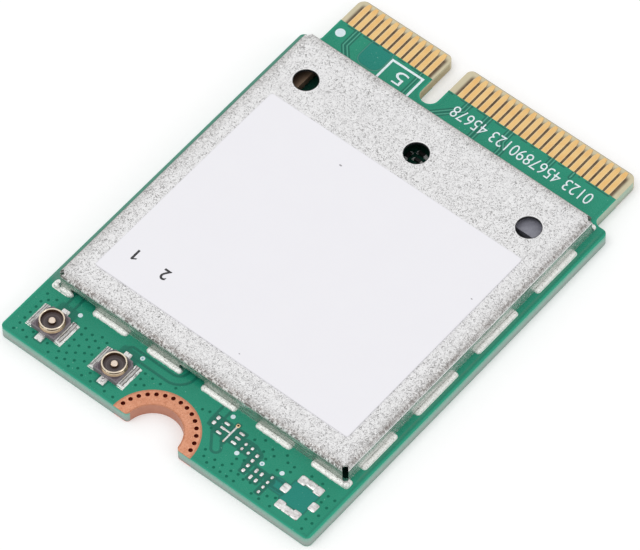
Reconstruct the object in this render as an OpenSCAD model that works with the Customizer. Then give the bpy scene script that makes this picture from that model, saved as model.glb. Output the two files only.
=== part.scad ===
// Plug-in radio card for a small computer: a thin green circuit board with a gold contact
// tongue at one end, a half-round screw notch at the other, a soldered shield can over the
// radio, a paper label on the can and two tiny round antenna jacks beside the screw notch.
// X runs across the card, +Y points to the contact tip, Z is up from the underside.

/* [Board] */
// Width of the board
board_w = 22; // [21.8:0.1:26]
// Length of the board from the screw end to the contact tip
board_l = 30; // [29.8:0.1:42]
// Thickness of the finished board
board_t = 0.8; // [0.6:0.05:1.6]
// Thickness of the green varnish and of the copper on each face
skin_t = 0.04; // [0.02:0.01:0.08]
// Radius of the board's outside corners
corner_r = 0.35; // [0.1:0.05:0.5]

/* [Contact tongue] */
// Width of the narrow tongue
tongue_w = 19.85; // [19.6:0.05:20.5]
// Length of the tongue beyond the shoulders
tongue_l = 4; // [3.8:0.1:5]
// Radius of the tongue's tip corners
tongue_r = 0.5; // [0.1:0.05:0.7]
// Radius of the inside corner at each shoulder
shoulder_r = 0.45; // [0.1:0.05:0.5]
// Length of the tongue that has no varnish
bare_l = 1.95; // [1.6:0.05:2.5]
// Length of the slope ground on both faces of the tip
bevel_l = 0.15; // [0.1:0.05:0.5]
// Angle of the slope ground on the tip
bevel_angle = 20; // [10:1:30]

/* [Contacts] */
// Distance between neighbouring contacts on one face
contact_pitch = 0.5; // [0.46:0.01:0.5]
// Width of one contact
contact_w = 0.35; // [0.2:0.01:0.38]
// Bare gap between a contact's end and the tip
contact_gap = 0.1; // [0.05:0.01:0.3]
// Length over which a contact narrows at the tip
contact_taper = 0.35; // [0.1:0.05:0.6]
// Contacts on the upper face left of the key slot
contacts_left = 12; // [8:1:12]
// Contacts on the upper face right of the key slot
contacts_right = 22; // [16:1:22]

/* [Key slot] */
// Distance of the key slot from the card's middle line
key_offset = 2.625; // [2.625:0.005:2.66]
// Width of the key slot
key_w = 1.2; // [1:0.05:1.3]
// Depth of the key slot from the tip
key_l = 3.5; // [3:0.1:3.8]
// Radius of the two lips of the key slot
key_lip_r = 0.4; // [0.05:0.05:0.5]

/* [Screw notch] */
// Radius of the half-round screw notch
notch_r = 1.75; // [1.5:0.05:1.9]
// Outer radius of the copper land round the notch
ring_r = 2.75; // [2.7:0.05:3]
// Radius of the notch's two lips
notch_lip_r = 0.25; // [0.1:0.05:0.4]
// Thickness of the copper plated on the notch wall
plating_t = 0.04; // [0.02:0.01:0.08]
// Number of small plated holes in the land
ring_holes = 15; // [7:1:17]
// Diameter of one small plated hole
ring_hole_d = 0.26; // [0.15:0.01:0.28]
// Width of copper between the small holes and the land's outer edge
ring_hole_inset = 0.3; // [0.25:0.01:0.4]

/* [Shield can] */
// Board left free beside the can
can_side_gap = 0.7; // [0.6:0.05:1.2]
// Board left free between the can and the contact tip
can_tip_gap = 4.37; // [4.3:0.01:5.4]
// Height of the can above the board
can_h = 1.25; // [1.2:0.05:1.6]
// Thickness of the can's sheet
can_t = 0.15; // [0.1:0.01:0.2]
// Outside radius of the folded top edge
can_bend = 0.28; // [0.25:0.01:0.45]
// Board left free between the screw end and the can
can_setback = 4.08; // [4:0.01:4.1]
// Width of the open slot between two folded walls
can_slot_w = 0.34; // [0.1:0.01:0.45]
// Diameter of a vent hole
vent_d = 1.47; // [0.8:0.01:2]
// Distance from the can's side to the middle of the nearest vent hole
vent_edge = 2.3; // [2.1:0.1:5]
// Distance from the can's contact side to the middle of the vent holes
vent_inset = 2.83; // [1.6:0.01:3]
// Sideways shift of the row of vent holes
vent_shift = 0.1; // [0:0.01:0.3]
// Width of a wall opening over an antenna line
gate_w = 1.8; // [1:0.05:1.9]
// Height of a wall opening over an antenna line
gate_h = 0.5; // [0.3:0.05:0.6]

/* [Can solder] */
// Length of one solder bead along the can's foot
bead_l = 2.5; // [1.5:0.05:2.8]
// Length of one solder bead along a side wall
side_bead_l = 3.55; // [2:0.05:4]
// Width of a bead out from the wall
bead_w = 0.27; // [0.15:0.01:0.3]
// Height of a bead up the wall
bead_h = 0.25; // [0.15:0.01:0.4]

/* [Label] */
// Bare lid on each side of the label
label_side_gap = 1.3; // [0.8:0.05:4]
// Bare lid between the label and the can's contact side
label_tip_gap = 4.75; // [4.4:0.05:9]
// Thickness of the label
label_t = 0.08; // [0.04:0.01:0.15]
// Bare lid between the label and the can's screw side
label_inset = 1.7; // [0.6:0.05:1.8]
// Corner radius of the label
label_r = 0.15; // [0.05:0.05:1]

/* [Antenna jacks] */
// Distance from the board's side to the first jack's middle
jack_edge = 2.23; // [2.1:0.01:2.3]
// Distance from the screw land's edge to the second jack's middle
jack_land_gap = 1.51; // [1.41:0.01:1.91]
// Distance from the screw end to the jacks' middle
jack_setback = 1.88; // [1.8:0.01:1.9]
// Width of a jack's moulded base
jack_w = 1.66; // [1.6:0.02:1.8]
// Height of a jack's moulded base
jack_base_h = 0.3; // [0.26:0.01:0.34]
// Height of a jack above the board
jack_h = 0.62; // [0.56:0.01:0.8]
// Outside diameter of the jack's metal ring
jack_d = 1.45; // [1.4:0.01:1.5]
// Wall of the jack's metal ring
jack_wall = 0.09; // [0.06:0.01:0.12]
// Depth of the shallow groove round the ring
jack_groove = 0.04; // [0.02:0.01:0.05]
// Diameter of the jack's centre pin
pin_d = 0.42; // [0.3:0.01:0.5]
// Height of the centre pin above the board
pin_h = 0.52; // [0.44:0.01:0.54]
// Width of a soldered foot beside the base
foot_w = 0.42; // [0.36:0.01:0.46]

/* [Parts in the can] */
// Side of the square radio chip
chip_w = 7; // [5:0.1:8]
// Height of the radio chip
chip_h = 0.85; // [0.5:0.05:0.9]
// Length of the memory chip
memory_l = 2.5; // [2:0.1:2.6]
// Width of the memory chip
memory_w = 3; // [2:0.1:3.2]
// Height of the memory chip
memory_h = 0.8; // [0.5:0.05:0.9]
// Side of a square front-end chip
front_w = 3; // [2:0.1:3.4]
// Height of a front-end chip
front_h = 0.55; // [0.4:0.05:0.8]
// Length of the crystal
crystal_l = 2.5; // [2:0.1:3.2]
// Width of the crystal
crystal_w = 2; // [1.6:0.1:2.5]
// Height of the crystal
crystal_h = 0.55; // [0.4:0.05:0.8]
// Length of the power coil
coil_l = 2.5; // [2:0.1:3]
// Width of the power coil
coil_w = 2; // [1.6:0.1:2.5]
// Height of the power coil
coil_h = 0.9; // [0.5:0.05:0.95]
// Length of an antenna filter
filter_l = 2; // [1.6:0.1:2.2]
// Width of an antenna filter
filter_w = 1.25; // [0.8:0.05:1.6]
// Height of an antenna filter
filter_h = 0.65; // [0.4:0.05:0.8]

/* [Hidden] */

$fn = 48;
eps = 0.01;
past = 1;

// Places along the card
tip_y = board_l / 2;
end_y = -board_l / 2;
shoulder_y = tip_y - tongue_l;
varnish_y = tip_y - bare_l;
bevel_h = bevel_l * tan(bevel_angle);
core_top = board_t - skin_t;

// Can walls, measured on the outside
can_w = board_w - 2 * can_side_gap;
can_y0 = end_y + can_setback;
can_y1 = tip_y - can_tip_gap;
can_l = can_y1 - can_y0;
can_mid_y = (can_y0 + can_y1) / 2;
can_top = board_t + can_h;
vent_y = can_y1 - vent_inset;
vent_x = [for (i = [-1:1]) i * (can_w / 2 - vent_edge) - vent_shift];
label_w = can_w - 2 * label_side_gap;
label_l = can_l - label_inset - label_tip_gap;

// Solder beads along the can's foot, spread over its width and length. On the screw side the
// first and the last bead turn round the corners.
end_bead_count = 5;
end_bead_first = 2.68;
end_bead_spare = 1.1;
bead_pitch_x = (can_w - end_bead_spare) / end_bead_count;
end_bead_x = [for (i = [0:end_bead_count - 1]) end_bead_first - can_w / 2 + i * bead_pitch_x];
last_end_bead_l = can_w / 2 - end_bead_x[end_bead_count - 1];
corner_bead_l = 1;
corner_turn_l = 0.36;
side_bead_count = 4;
side_bead_first = 1.77;
side_bead_spare = 0.75;
bead_pitch_y = (can_l - side_bead_spare) / side_bead_count;
side_bead_cut = 0.65;
pad_margin = 0.02;
pad_under_wall = can_t + 0.1;
pad_out = bead_w + pad_margin;
pad_r = 0.2;

// Antenna jacks and their feed lines
jack_y = end_y + jack_setback;
jack_x = [jack_edge - board_w / 2, -ring_r - jack_land_gap];
spare_side_x = board_w / 2;
spare_jack_x = spare_side_x - 2.07;
spare_jack_y = end_y + 1.83;
spare_pad_reach = 0.98;
spare_signal_pad = [1.6, 0.56];
spare_signal_nick = [0.56, 0.12];
spare_side_pad = [0.48, 0.58];
gate_shift = [0.34, 3.66];
gate_x = [for (i = [0, 1]) jack_x[i] + gate_shift[i]];
gate_r = 0.15;

// Metal of a jack: ring on a flared foot, two soldered feet, centre pin and its tail
jack_r = jack_d / 2;
ring_seat = 0.12;
ring_flare = 0.04;
rim_h = 0.1;
rim_edge = 0.02;
groove_h = 0.08;
floor_h = jack_base_h + 0.03;
foot_l = 1.65;
foot_t = 0.1;
foot_end = jack_w / 2 + foot_w - 0.08;
strap_w = 0.7;
strap_t = 0.06;
base_cut = 0.3;
pin_edge = 0.04;
tail_w = 0.3;
tail_t = 0.08;
tail_end = 1.22;
small_pad_w = 0.48;
small_pad_l = 0.5;
rear_pad_shift = 0.06;
solder_lip = 0.02;
solder_rise = 0.05;
drop_w = 0.08;

// Tinned pads kept bare for parts that this card does not carry, one row of pads each:
// in from the board's side, up from the screw end, number of pads, pitch, pad width, pad length
spare_rows = [
    [8.77, 3.00, 2, 0.38, 0.24, 0.28],
    [8.15, 3.00, 3, 0.36, 0.40, 0.18],
    [7.10, 3.00, 3, 0.36, 0.40, 0.18],
    [6.50, 2.63, 2, 0.36, 0.18, 0.24],
    [6.05, 2.63, 2, 0.36, 0.20, 0.22],
    [5.55, 2.43, 4, 0.39, 0.22, 0.26],
    [4.97, 1.68, 2, 0.50, 0.20, 0.34],
    [4.60, 1.68, 2, 0.50, 0.20, 0.30],
    [4.03, 1.88, 4, 0.385, 0.18, 0.24]
];
spare_line_x = spare_side_x - 7.6;
spare_line_w = 0.11;
spare_line_y0 = end_y + 1.95;
spare_line_y1 = end_y + 3.27;
spare_hole_d = 0.12;

// Round bare spots up from the screw end: one beside each jack, the others in from the board's side
jack_spot = [0.765, 3.335];
side_spots = [[8.2, 3.55], [6.53, 1.88], [5.03, 2.22], [3.8, 2.43]];
test_spots = concat([for (x = jack_x) [x + jack_spot.x, jack_spot.y]],
    [for (spot = side_spots) [spare_side_x - spot.x, spot.y]]);
test_d = 0.28;
aim_d = 0.6;
aim_x = -tongue_w / 2 + 0.58;
aim_y = varnish_y - 0.75;

// Printed frame beside the contacts
print_t = 0.015;
print_w = 0.14;
frame_x0 = -5.8;
frame_x1 = -3.62;
frame_y1 = varnish_y - 0.37;
frame_gap = 0.03;
frame_y0 = can_y1 + pad_out + frame_gap;

// Places in the can, as shares of half its width and of its length from the screw side
function in_can(place) = [place.x * can_w / 2, can_y0 + place.y * can_l];
chip_at = in_can([0, 0.514]);
crystal_at = in_can([-0.709, 0.57]);
coil_at = in_can([0.641, 0.635]);
front_at = [for (i = [0, 1]) [gate_x[i] + 0.2 * front_w, in_can([0, 0.241]).y]];
filter_at = [for (i = [0, 1]) [gate_x[i], in_can([0, 0.088]).y]];
memory_at = [vent_x[2] - 0.05 * memory_w, vent_y + 0.43 * memory_l];

// Two-ended parts in the can: place, turn, then length, width and height
tall_cap = [1.6, 0.8, 0.5];
vent_cap = [0.4, 0.2, 0.2];
small_cap = [1, 0.5, 0.35];
small_resistor = [1, 0.5, 0.3];
cap_step = 1.1;
tall_caps = [
    [[vent_x[0] - 0.5 * tall_cap.x, vent_y + 0.325 * tall_cap.x], 90, tall_cap],
    [[vent_x[0] + 1.06 * tall_cap.x, vent_y + 0.25 * tall_cap.x], 90, tall_cap],
    [in_can([0.359, 0.855]), 0, tall_cap],
    [in_can([0.505, 0.451]), 90, tall_cap]
];
vent_caps = [
    [[vent_x[1] - 1.95 * vent_cap.x, vent_y + 0.63 * vent_cap.x], 90, vent_cap],
    [[vent_x[1] - 0.58 * vent_cap.x, vent_y + 1.95 * vent_cap.x], 0, vent_cap],
    [[vent_x[1] - 0.35 * vent_cap.x, vent_y + 0.73 * vent_cap.x], 0, vent_cap]
];
cap_row = [for (i = [0:5])
    [[chip_at.x - chip_w / 2 - cap_step, chip_at.y + (i - 2.5) * cap_step], 0, small_cap]];
cap_line = [for (i = [0:4])
    [[chip_at.x + (i - 2) * cap_step, chip_at.y + chip_w / 2 + small_cap.x], 90, small_cap]];
all_caps = concat(tall_caps, vent_caps, cap_row, cap_line);
all_resistors = [for (i = [0:4])
    [in_can([0.699, 0.226]) + [0, i * cap_step], 0, small_resistor]];
end_cap_l = 0.12;
lid_inset = 0.15;
mark_depth = 0.04;

// Shape helpers

module round_plate(w, l, r) {
    square([w - 2 * r, l], center = true);
    square([w, l - 2 * r], center = true);
    for (sx = [-1, 1])
        for (sy = [-1, 1])
            translate([sx * (w / 2 - r), sy * (l / 2 - r)])
                circle(r);
}

// What a round corner takes off a square one, drawn in the first quadrant
module corner_waste(r) {
    difference() {
        translate([-eps, -eps])
            square(r + eps);
        translate([r, r])
            circle(r);
    }
}

module screw_notch() {
    lip_x = sqrt(pow(notch_r + notch_lip_r, 2) - pow(notch_lip_r, 2));
    circle(notch_r);
    for (side = [-1, 1])
        difference() {
            polygon([[0, 0], [0, -eps], [side * lip_x, -eps], [side * lip_x, notch_lip_r]]);
            translate([side * lip_x, notch_lip_r])
                circle(notch_lip_r);
        }
}

module key_slot() {
    translate([-key_offset, tip_y - key_l + key_w / 2]) {
        circle(key_w / 2);
        translate([-key_w / 2, 0])
            square([key_w, key_l]);
    }
    for (side = [-1, 1])
        translate([-key_offset + side * key_w / 2, tip_y])
            mirror([side < 0 ? 1 : 0, 0])
                mirror([0, 1])
                    corner_waste(key_lip_r);
}

// The board's outline with its shoulders, key slot and screw notch
module board_outline() {
    difference() {
        union() {
            translate([0, (end_y + shoulder_y) / 2])
                round_plate(board_w, shoulder_y - end_y, corner_r);
            translate([0, tip_y - (tongue_l + past) / 2])
                round_plate(tongue_w, tongue_l + past, tongue_r);
            for (side = [-1, 1])
                translate([side * tongue_w / 2, shoulder_y])
                    mirror([side < 0 ? 1 : 0, 0])
                        corner_waste(shoulder_r);
        }
        key_slot();
        translate([0, end_y])
            screw_notch();
    }
}

// The copper on the notch wall, between the two lips
module notch_plating() {
    tangent_y = notch_lip_r * notch_r / (notch_r + notch_lip_r);
    intersection() {
        difference() {
            circle(notch_r + plating_t);
            circle(notch_r);
        }
        translate([-notch_r - 1, tangent_y])
            square([2 * notch_r + 2, notch_r + 1]);
    }
}

module ring_hole_places() {
    hole_circle = ring_r - ring_hole_inset;
    first = asin((ring_hole_inset + 0.14) / hole_circle);
    for (i = [0:ring_holes - 1]) {
        turn = first + i * (180 - 2 * first) / (ring_holes - 1);
        translate([hole_circle * cos(turn), end_y + hole_circle * sin(turn)])
            children();
    }
}

// Wedges ground off the upper and lower edges of the tip
module tip_bevels() {
    for (face = [0, 1])
        translate([0, 0, face * board_t])
            mirror([0, 0, face])
                translate([-board_w / 2, 0, 0])
                    rotate([90, 0, 90])
                        linear_extrude(board_w)
                            polygon([[tip_y - bevel_l, -eps], [tip_y + eps, -eps],
                                [tip_y + eps, bevel_h], [tip_y, bevel_h],
                                [tip_y - bevel_l, 0]]);
}

// Openings in the upper varnish

module jack_pad_shapes() {
    for (x = jack_x)
        translate([x, jack_y]) {
            for (side = [-1, 1])
                translate([side * (jack_w + foot_w) / 2, 0])
                    square([foot_w + 2 * pad_margin, foot_l + 2 * pad_margin], center = true);
            translate([0, tail_end - small_pad_l / 2])
                square([small_pad_w, small_pad_l], center = true);
            translate([0, -tail_end - rear_pad_shift + small_pad_l / 2])
                square([small_pad_w, small_pad_l], center = true);
        }
}

module spare_jack_shapes() {
    translate([spare_jack_x, spare_jack_y]) {
        for (side = [-1, 1]) {
            translate([0, side * spare_pad_reach])
                difference() {
                    square(spare_signal_pad, center = true);
                    translate([0, -side * spare_signal_pad.y / 2])
                        square(spare_signal_nick, center = true);
                }
            translate([side * spare_pad_reach, 0])
                square(spare_side_pad, center = true);
        }
    }
}

module spare_part_shapes() {
    for (row = spare_rows)
        for (i = [0:row[2] - 1])
            translate([spare_side_x - row[0], end_y + row[1] - i * row[3]])
                square([row[4], row[5]], center = true);
    translate([spare_line_x - spare_line_w / 2, spare_line_y0])
        square([spare_line_w, spare_line_y1 - spare_line_y0]);
    translate([spare_side_x - spare_rows[1][0],
        end_y + spare_rows[1][1] - spare_rows[1][3] - spare_line_w / 2])
        square([spare_line_x - spare_side_x + spare_rows[1][0], spare_line_w]);
    translate([spare_line_x, spare_line_y1])
        circle(spare_hole_d);
}

module test_shapes() {
    for (spot = test_spots)
        translate([spot.x, end_y + spot.y])
            circle(test_d / 2);
    translate([aim_x, aim_y])
        circle(aim_d / 2);
}

// The start and length of each bead along an end wall, and down a side wall
function end_beads() = concat([[-can_w / 2, corner_bead_l]],
    [for (i = [0:end_bead_count - 1])
        [end_bead_x[i], min(bead_l, can_w / 2 - end_bead_x[i])]]);

function side_beads() = [for (i = [0:side_bead_count - 1])
    let(length = side_bead_l - (i == side_bead_count - 1 ? side_bead_cut : 0))
        [can_y1 - side_bead_first - i * bead_pitch_y - length, length]];

// A pad along +X from the origin, from under the wall at y = 0 out to rounded corners at -Y
module wall_pad(length) {
    translate([0, pad_r - pad_out])
        square([length, pad_out + pad_under_wall - pad_r]);
    translate([pad_r, -pad_out])
        square([length - 2 * pad_r, pad_out + pad_under_wall]);
    for (x = [pad_r, length - pad_r])
        translate([x, pad_r - pad_out])
            circle(pad_r);
}

// A pad along the end wall to the corner at x = 0 and on round it up the side wall
module corner_pad(length) {
    translate([-length, 0])
        wall_pad(length + pad_out);
    translate([0, corner_turn_l])
        rotate(270)
            mirror([0, 1])
                wall_pad(corner_turn_l + pad_out);
}

module can_pad_shapes() {
    for (i = [0:end_bead_count])
        translate([end_beads()[i][0], can_y1])
            mirror([0, 1])
                wall_pad(end_beads()[i][1]);
    for (i = [1:end_bead_count - 1])
        translate([end_beads()[i][0], can_y0])
            wall_pad(end_beads()[i][1]);
    for (side = [0, 1])
        mirror([side, 0])
            translate([can_w / 2, can_y0])
                corner_pad(side == 0 ? last_end_bead_l : corner_bead_l);
    for (side = [0, 1])
        mirror([side, 0])
            for (run = side_beads())
                translate([can_w / 2, run[0]])
                    rotate(90)
                        wall_pad(run[1]);
}

// Board

module board_core() {
    color([0.78, 0.74, 0.62])
        difference() {
            translate([0, 0, skin_t])
                linear_extrude(core_top - skin_t)
                    difference() {
                        board_outline();
                        translate([0, end_y])
                            notch_plating();
                        ring_hole_places()
                            circle(ring_hole_d / 2 + plating_t);
                    }
            tip_bevels();
        }
}

module varnish_top() {
    color([0.20, 0.57, 0.45])
        translate([0, 0, core_top])
            linear_extrude(skin_t)
                difference() {
                    board_outline();
                    translate([0, end_y])
                        circle(ring_r);
                    translate([-board_w, varnish_y])
                        square([2 * board_w, board_l]);
                    jack_pad_shapes();
                    spare_jack_shapes();
                    spare_part_shapes();
                    test_shapes();
                    can_pad_shapes();
                }
}

module varnish_bottom() {
    color([0.20, 0.57, 0.45])
        linear_extrude(skin_t)
            difference() {
                board_outline();
                translate([0, end_y])
                    circle(ring_r);
                translate([-board_w, varnish_y])
                    square([2 * board_w, board_l]);
            }
}

// One gold contact with its end narrowed towards the tip, drawn at x = 0
module contact_shape() {
    reach = tip_y - contact_gap;
    polygon([[-contact_w / 2, varnish_y], [contact_w / 2, varnish_y],
        [contact_w / 2, reach - contact_taper], [contact_w / 4, reach],
        [-contact_w / 4, reach], [-contact_w / 2, reach - contact_taper]]);
}

// The upper face carries the odd places and the lower face the even ones, half a pitch off
module contact_rows(count_left, count_right, shift) {
    slot_half = 2.25 * contact_pitch;
    for (i = [0:count_left - 1])
        translate([-key_offset - slot_half - shift - i * contact_pitch, 0])
            contact_shape();
    for (i = [0:count_right - 1])
        translate([-key_offset + slot_half + 0.5 * contact_pitch - shift + i * contact_pitch, 0])
            contact_shape();
}

module contacts_top() {
    color([0.96, 0.77, 0.47])
        difference() {
            translate([0, 0, core_top])
                linear_extrude(skin_t)
                    contact_rows(contacts_left, contacts_right, 0);
            tip_bevels();
        }
}

module contacts_bottom() {
    color([0.96, 0.77, 0.47])
        difference() {
            linear_extrude(skin_t)
                contact_rows(contacts_left - 1, contacts_right, contact_pitch / 2);
            tip_bevels();
        }
}

// Copper land on both faces, joined by the plated notch wall and the plated holes
module screw_land() {
    color([0.87, 0.58, 0.44]) {
        for (z = [0, core_top])
            translate([0, 0, z])
                linear_extrude(skin_t)
                    difference() {
                        intersection() {
                            board_outline();
                            translate([0, end_y])
                                circle(ring_r);
                        }
                        ring_hole_places()
                            circle(ring_hole_d / 2);
                    }
        translate([0, end_y, 0])
            linear_extrude(board_t)
                notch_plating();
        linear_extrude(board_t)
            ring_hole_places()
                difference() {
                    circle(ring_hole_d / 2 + plating_t);
                    circle(ring_hole_d / 2);
                }
    }
}

// Shield can

// Upright section of a folded cover: square at the foot, round at the top edges
module fold_section(w, h, r) {
    translate([-w / 2, 0])
        square([w, h - r]);
    translate([-w / 2 + r, 0])
        square([w - 2 * r, h]);
    for (side = [-1, 1])
        translate([side * (w / 2 - r), h - r])
            circle(r);
}

module folded_block(w, l, h, r) {
    intersection() {
        translate([0, l / 2, 0])
            rotate([90, 0, 0])
                linear_extrude(l)
                    fold_section(w, h, r);
        translate([-w / 2, 0, 0])
            rotate([90, 0, 90])
                linear_extrude(w)
                    fold_section(l, h, r);
    }
}

module can_gate() {
    rotate([90, 0, 0])
        linear_extrude(4 * can_t, center = true) {
            translate([-gate_w / 2, -past])
                square([gate_w, past + gate_h - gate_r]);
            translate([gate_r - gate_w / 2, -past])
                square([gate_w - 2 * gate_r, past + gate_h]);
            for (side = [-1, 1])
                translate([side * (gate_w / 2 - gate_r), gate_h - gate_r])
                    circle(gate_r);
        }
}

module shield_can() {
    slot_l = 3 * can_bend;
    color([0.84, 0.83, 0.83])
        difference() {
            translate([0, can_mid_y, board_t])
                folded_block(can_w, can_l, can_h, can_bend);
            translate([0, can_mid_y, board_t - eps])
                folded_block(can_w - 2 * can_t, can_l - 2 * can_t, can_h - can_t + eps,
                    can_bend - can_t);
            for (sx = [-1, 1])
                for (sy = [-1, 1])
                    translate([sx * (can_w / 2 - can_bend), can_mid_y + sy * (can_l / 2 - can_bend), 0])
                        rotate(sx * sy * 45)
                            translate([sx > 0 ? 0 : -slot_l, -can_slot_w / 2, 0])
                                cube([slot_l, can_slot_w, can_top + past]);
            for (x = vent_x)
                translate([x, vent_y, can_top - can_bend])
                    cylinder(d = vent_d, h = can_bend + past);
            for (x = gate_x)
                translate([x, can_y0, board_t])
                    can_gate();
        }
}

// Section of a solder bead: wall at x = 0, board at y = 0, full and round on top
module bead_section() {
    polygon([[0, 0], [bead_w, 0], [0.96 * bead_w, 0.45 * bead_h], [0.8 * bead_w, 0.84 * bead_h],
        [0.5 * bead_w, bead_h], [0.2 * bead_w, 0.84 * bead_h], [0, 0.5 * bead_h]]);
}

// Straight stretch of bead along +X, with its wall on the +Y side
module bead_run(length) {
    rotate([90, 0, 90])
        linear_extrude(length)
            mirror([1, 0])
                bead_section();
}

// Quarter of a lathed bead, from the given direction on
module bead_turn(from) {
    rotate(from)
        rotate_extrude(angle = 90)
            bead_section();
}

module bead(length) {
    translate([bead_w, 0, 0]) {
        bead_turn(180);
        bead_run(length - 2 * bead_w);
        translate([length - 2 * bead_w, 0, 0])
            bead_turn(270);
    }
}

// A bead that runs to the corner at x = 0 and on round it up the +Y side
module corner_bead(length, turned) {
    translate([bead_w - length, 0, 0]) {
        bead_turn(180);
        bead_run(length - bead_w);
    }
    bead_turn(270);
    rotate(90)
        bead_run(turned - bead_w);
    translate([0, turned - bead_w, 0])
        bead_turn(0);
}

module end_wall_beads(first, last) {
    for (i = [first:last])
        translate([end_beads()[i][0], 0, 0])
            bead(end_beads()[i][1]);
}

module shield_solder() {
    color([0.90, 0.90, 0.88]) {
        translate([0, 0, core_top])
            linear_extrude(skin_t)
                can_pad_shapes();
        translate([0, 0, board_t]) {
            translate([0, can_y0, 0])
                end_wall_beads(1, end_bead_count - 1);
            translate([can_w / 2, can_y0, 0])
                corner_bead(last_end_bead_l, corner_turn_l);
            translate([-can_w / 2, can_y0, 0])
                mirror([1, 0, 0])
                    corner_bead(corner_bead_l, corner_turn_l);
            translate([0, can_y1, 0])
                mirror([0, 1, 0])
                    end_wall_beads(0, end_bead_count);
            for (side = [0, 1])
                mirror([side, 0, 0])
                    for (run = side_beads())
                        translate([can_w / 2, run[0], 0])
                            rotate(90)
                                bead(run[1]);
        }
    }
}

module label() {
    color([0.94, 0.94, 0.95])
        translate([0, can_y0 + label_inset + label_l / 2, can_top])
            linear_extrude(label_t)
                round_plate(label_w, label_l, label_r);
}

// Antenna jacks, each drawn at its own middle with the board's face at z = 0

// The ring is drawn from sheet: a plain rim over a shallow groove, and a flared foot that the
// moulding holds, with a strap out to each soldered foot
module jack_ring_solid() {
    inner = jack_r - jack_wall;
    rotate_extrude()
        polygon([[inner + ring_flare, ring_seat], [jack_r + ring_flare / 2, ring_seat],
            [jack_r + ring_flare, jack_base_h],
            [jack_r - jack_groove, jack_h - rim_edge - rim_h - groove_h],
            [jack_r, jack_h - rim_edge - rim_h], [jack_r, jack_h - rim_edge],
            [jack_r - rim_edge, jack_h], [inner + rim_edge, jack_h],
            [inner, jack_h - rim_edge], [inner, floor_h]]);
    for (side = [0, 1])
        mirror([side, 0, 0]) {
            translate([inner + ring_flare, -strap_w / 2, ring_seat])
                cube([jack_w / 2 + foot_t - inner - ring_flare, strap_w, strap_t]);
            translate([jack_w / 2, -strap_w / 2, 0])
                cube([foot_t, strap_w, ring_seat + strap_t]);
            translate([jack_w / 2, -foot_l / 2, 0])
                cube([foot_end - jack_w / 2, foot_l, foot_t]);
        }
}

module jack_pin_solid() {
    cylinder(d = pin_d, h = pin_h - pin_edge);
    translate([0, 0, pin_h - pin_edge])
        cylinder(d1 = pin_d, d2 = pin_d - 2 * pin_edge, h = pin_edge);
    translate([-tail_w / 2, 0, 0])
        cube([tail_w, tail_end, tail_t]);
}

module jack_base_solid() {
    difference() {
        union() {
            translate([0, 0, jack_base_h / 2])
                cube([jack_w, jack_w, jack_base_h], center = true);
            cylinder(d = jack_d, h = floor_h);
        }
        jack_ring_solid();
        jack_pin_solid();
        for (side = [-1, 1])
            translate([side * jack_w / 2, jack_w / 2, 0])
                rotate(45)
                    cube([base_cut, base_cut, 2 * past], center = true);
    }
}

module jack_solder_solid() {
    outer = foot_w + pad_margin;
    difference() {
        union() {
            for (side = [0, 1])
                mirror([side, 0, 0])
                    translate([jack_w / 2, foot_l / 2, 0])
                        rotate([90, 0, 0])
                            linear_extrude(foot_l)
                                polygon([[0, 0], [outer, 0], [outer, solder_lip],
                                    [outer - drop_w, foot_t], [solder_rise, foot_t + solder_rise],
                                    [0, foot_t + solder_rise]]);
            for (side = [-1, 1])
                translate([0, side * (tail_end + rear_pad_shift - small_pad_l / 2), tail_t / 3])
                    cube([small_pad_w - 2 * pad_margin, small_pad_l - drop_w, 2 * tail_t / 3],
                        center = true);
            translate([0, tail_end - tail_w / 2, tail_t / 2 + solder_lip])
                cube([tail_w + drop_w, tail_w - drop_w / 2, tail_t + 2 * solder_lip],
                    center = true);
        }
        jack_ring_solid();
        jack_pin_solid();
    }
}

module place_jack(i) {
    translate([jack_x[i], jack_y, board_t])
        children();
}

module jack_base(i) {
    color([0.33, 0.29, 0.33])
        place_jack(i)
            jack_base_solid();
}

module jack_ring(i) {
    color([0.80, 0.70, 0.50])
        place_jack(i)
            jack_ring_solid();
}

module jack_pin(i) {
    color([0.93, 0.78, 0.58])
        place_jack(i)
            jack_pin_solid();
}

module jack_solder(i) {
    color([0.87, 0.88, 0.88])
        place_jack(i)
            jack_solder_solid();
}

// Bare metal on the board

module flush_metal() {
    color([0.87, 0.88, 0.88])
        translate([0, 0, core_top])
            linear_extrude(skin_t)
                children();
}

module jack_pads() {
    flush_metal()
        jack_pad_shapes();
}

module spare_jack_pads() {
    flush_metal()
        spare_jack_shapes();
}

module spare_part_pads() {
    flush_metal()
        spare_part_shapes();
}

module test_pads() {
    flush_metal()
        test_shapes();
}

module board_print() {
    color([0.95, 0.96, 0.98])
        translate([0, 0, board_t])
            linear_extrude(print_t) {
                for (x = [frame_x0, frame_x1])
                    translate([x - print_w / 2, frame_y0])
                        square([print_w, frame_y1 - frame_y0]);
                translate([frame_x0 - print_w / 2, frame_y1 - print_w / 2])
                    square([frame_x1 - frame_x0 + print_w, print_w]);
            }
}

// Parts in the can

// A moulded chip standing on the board, with a small mark sunk at its first lead
module chip(w, l, h) {
    mark = 0.08 * min(w, l);
    difference() {
        translate([-w / 2, -l / 2, 0])
            cube([w, l, h]);
        translate([-w / 2 + 2 * mark, l / 2 - 2 * mark, h - mark_depth])
            cylinder(r = mark, h = past);
    }
}

module on_board(place, turn = 0) {
    translate([place.x, place.y, board_t])
        rotate(turn)
            children();
}

module radio_chip() {
    color([0.20, 0.20, 0.22])
        on_board(chip_at)
            chip(chip_w, chip_w, chip_h);
}

module memory_chip() {
    color([0.48, 0.47, 0.52])
        on_board(memory_at)
            chip(memory_w, memory_l, memory_h);
}

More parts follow.
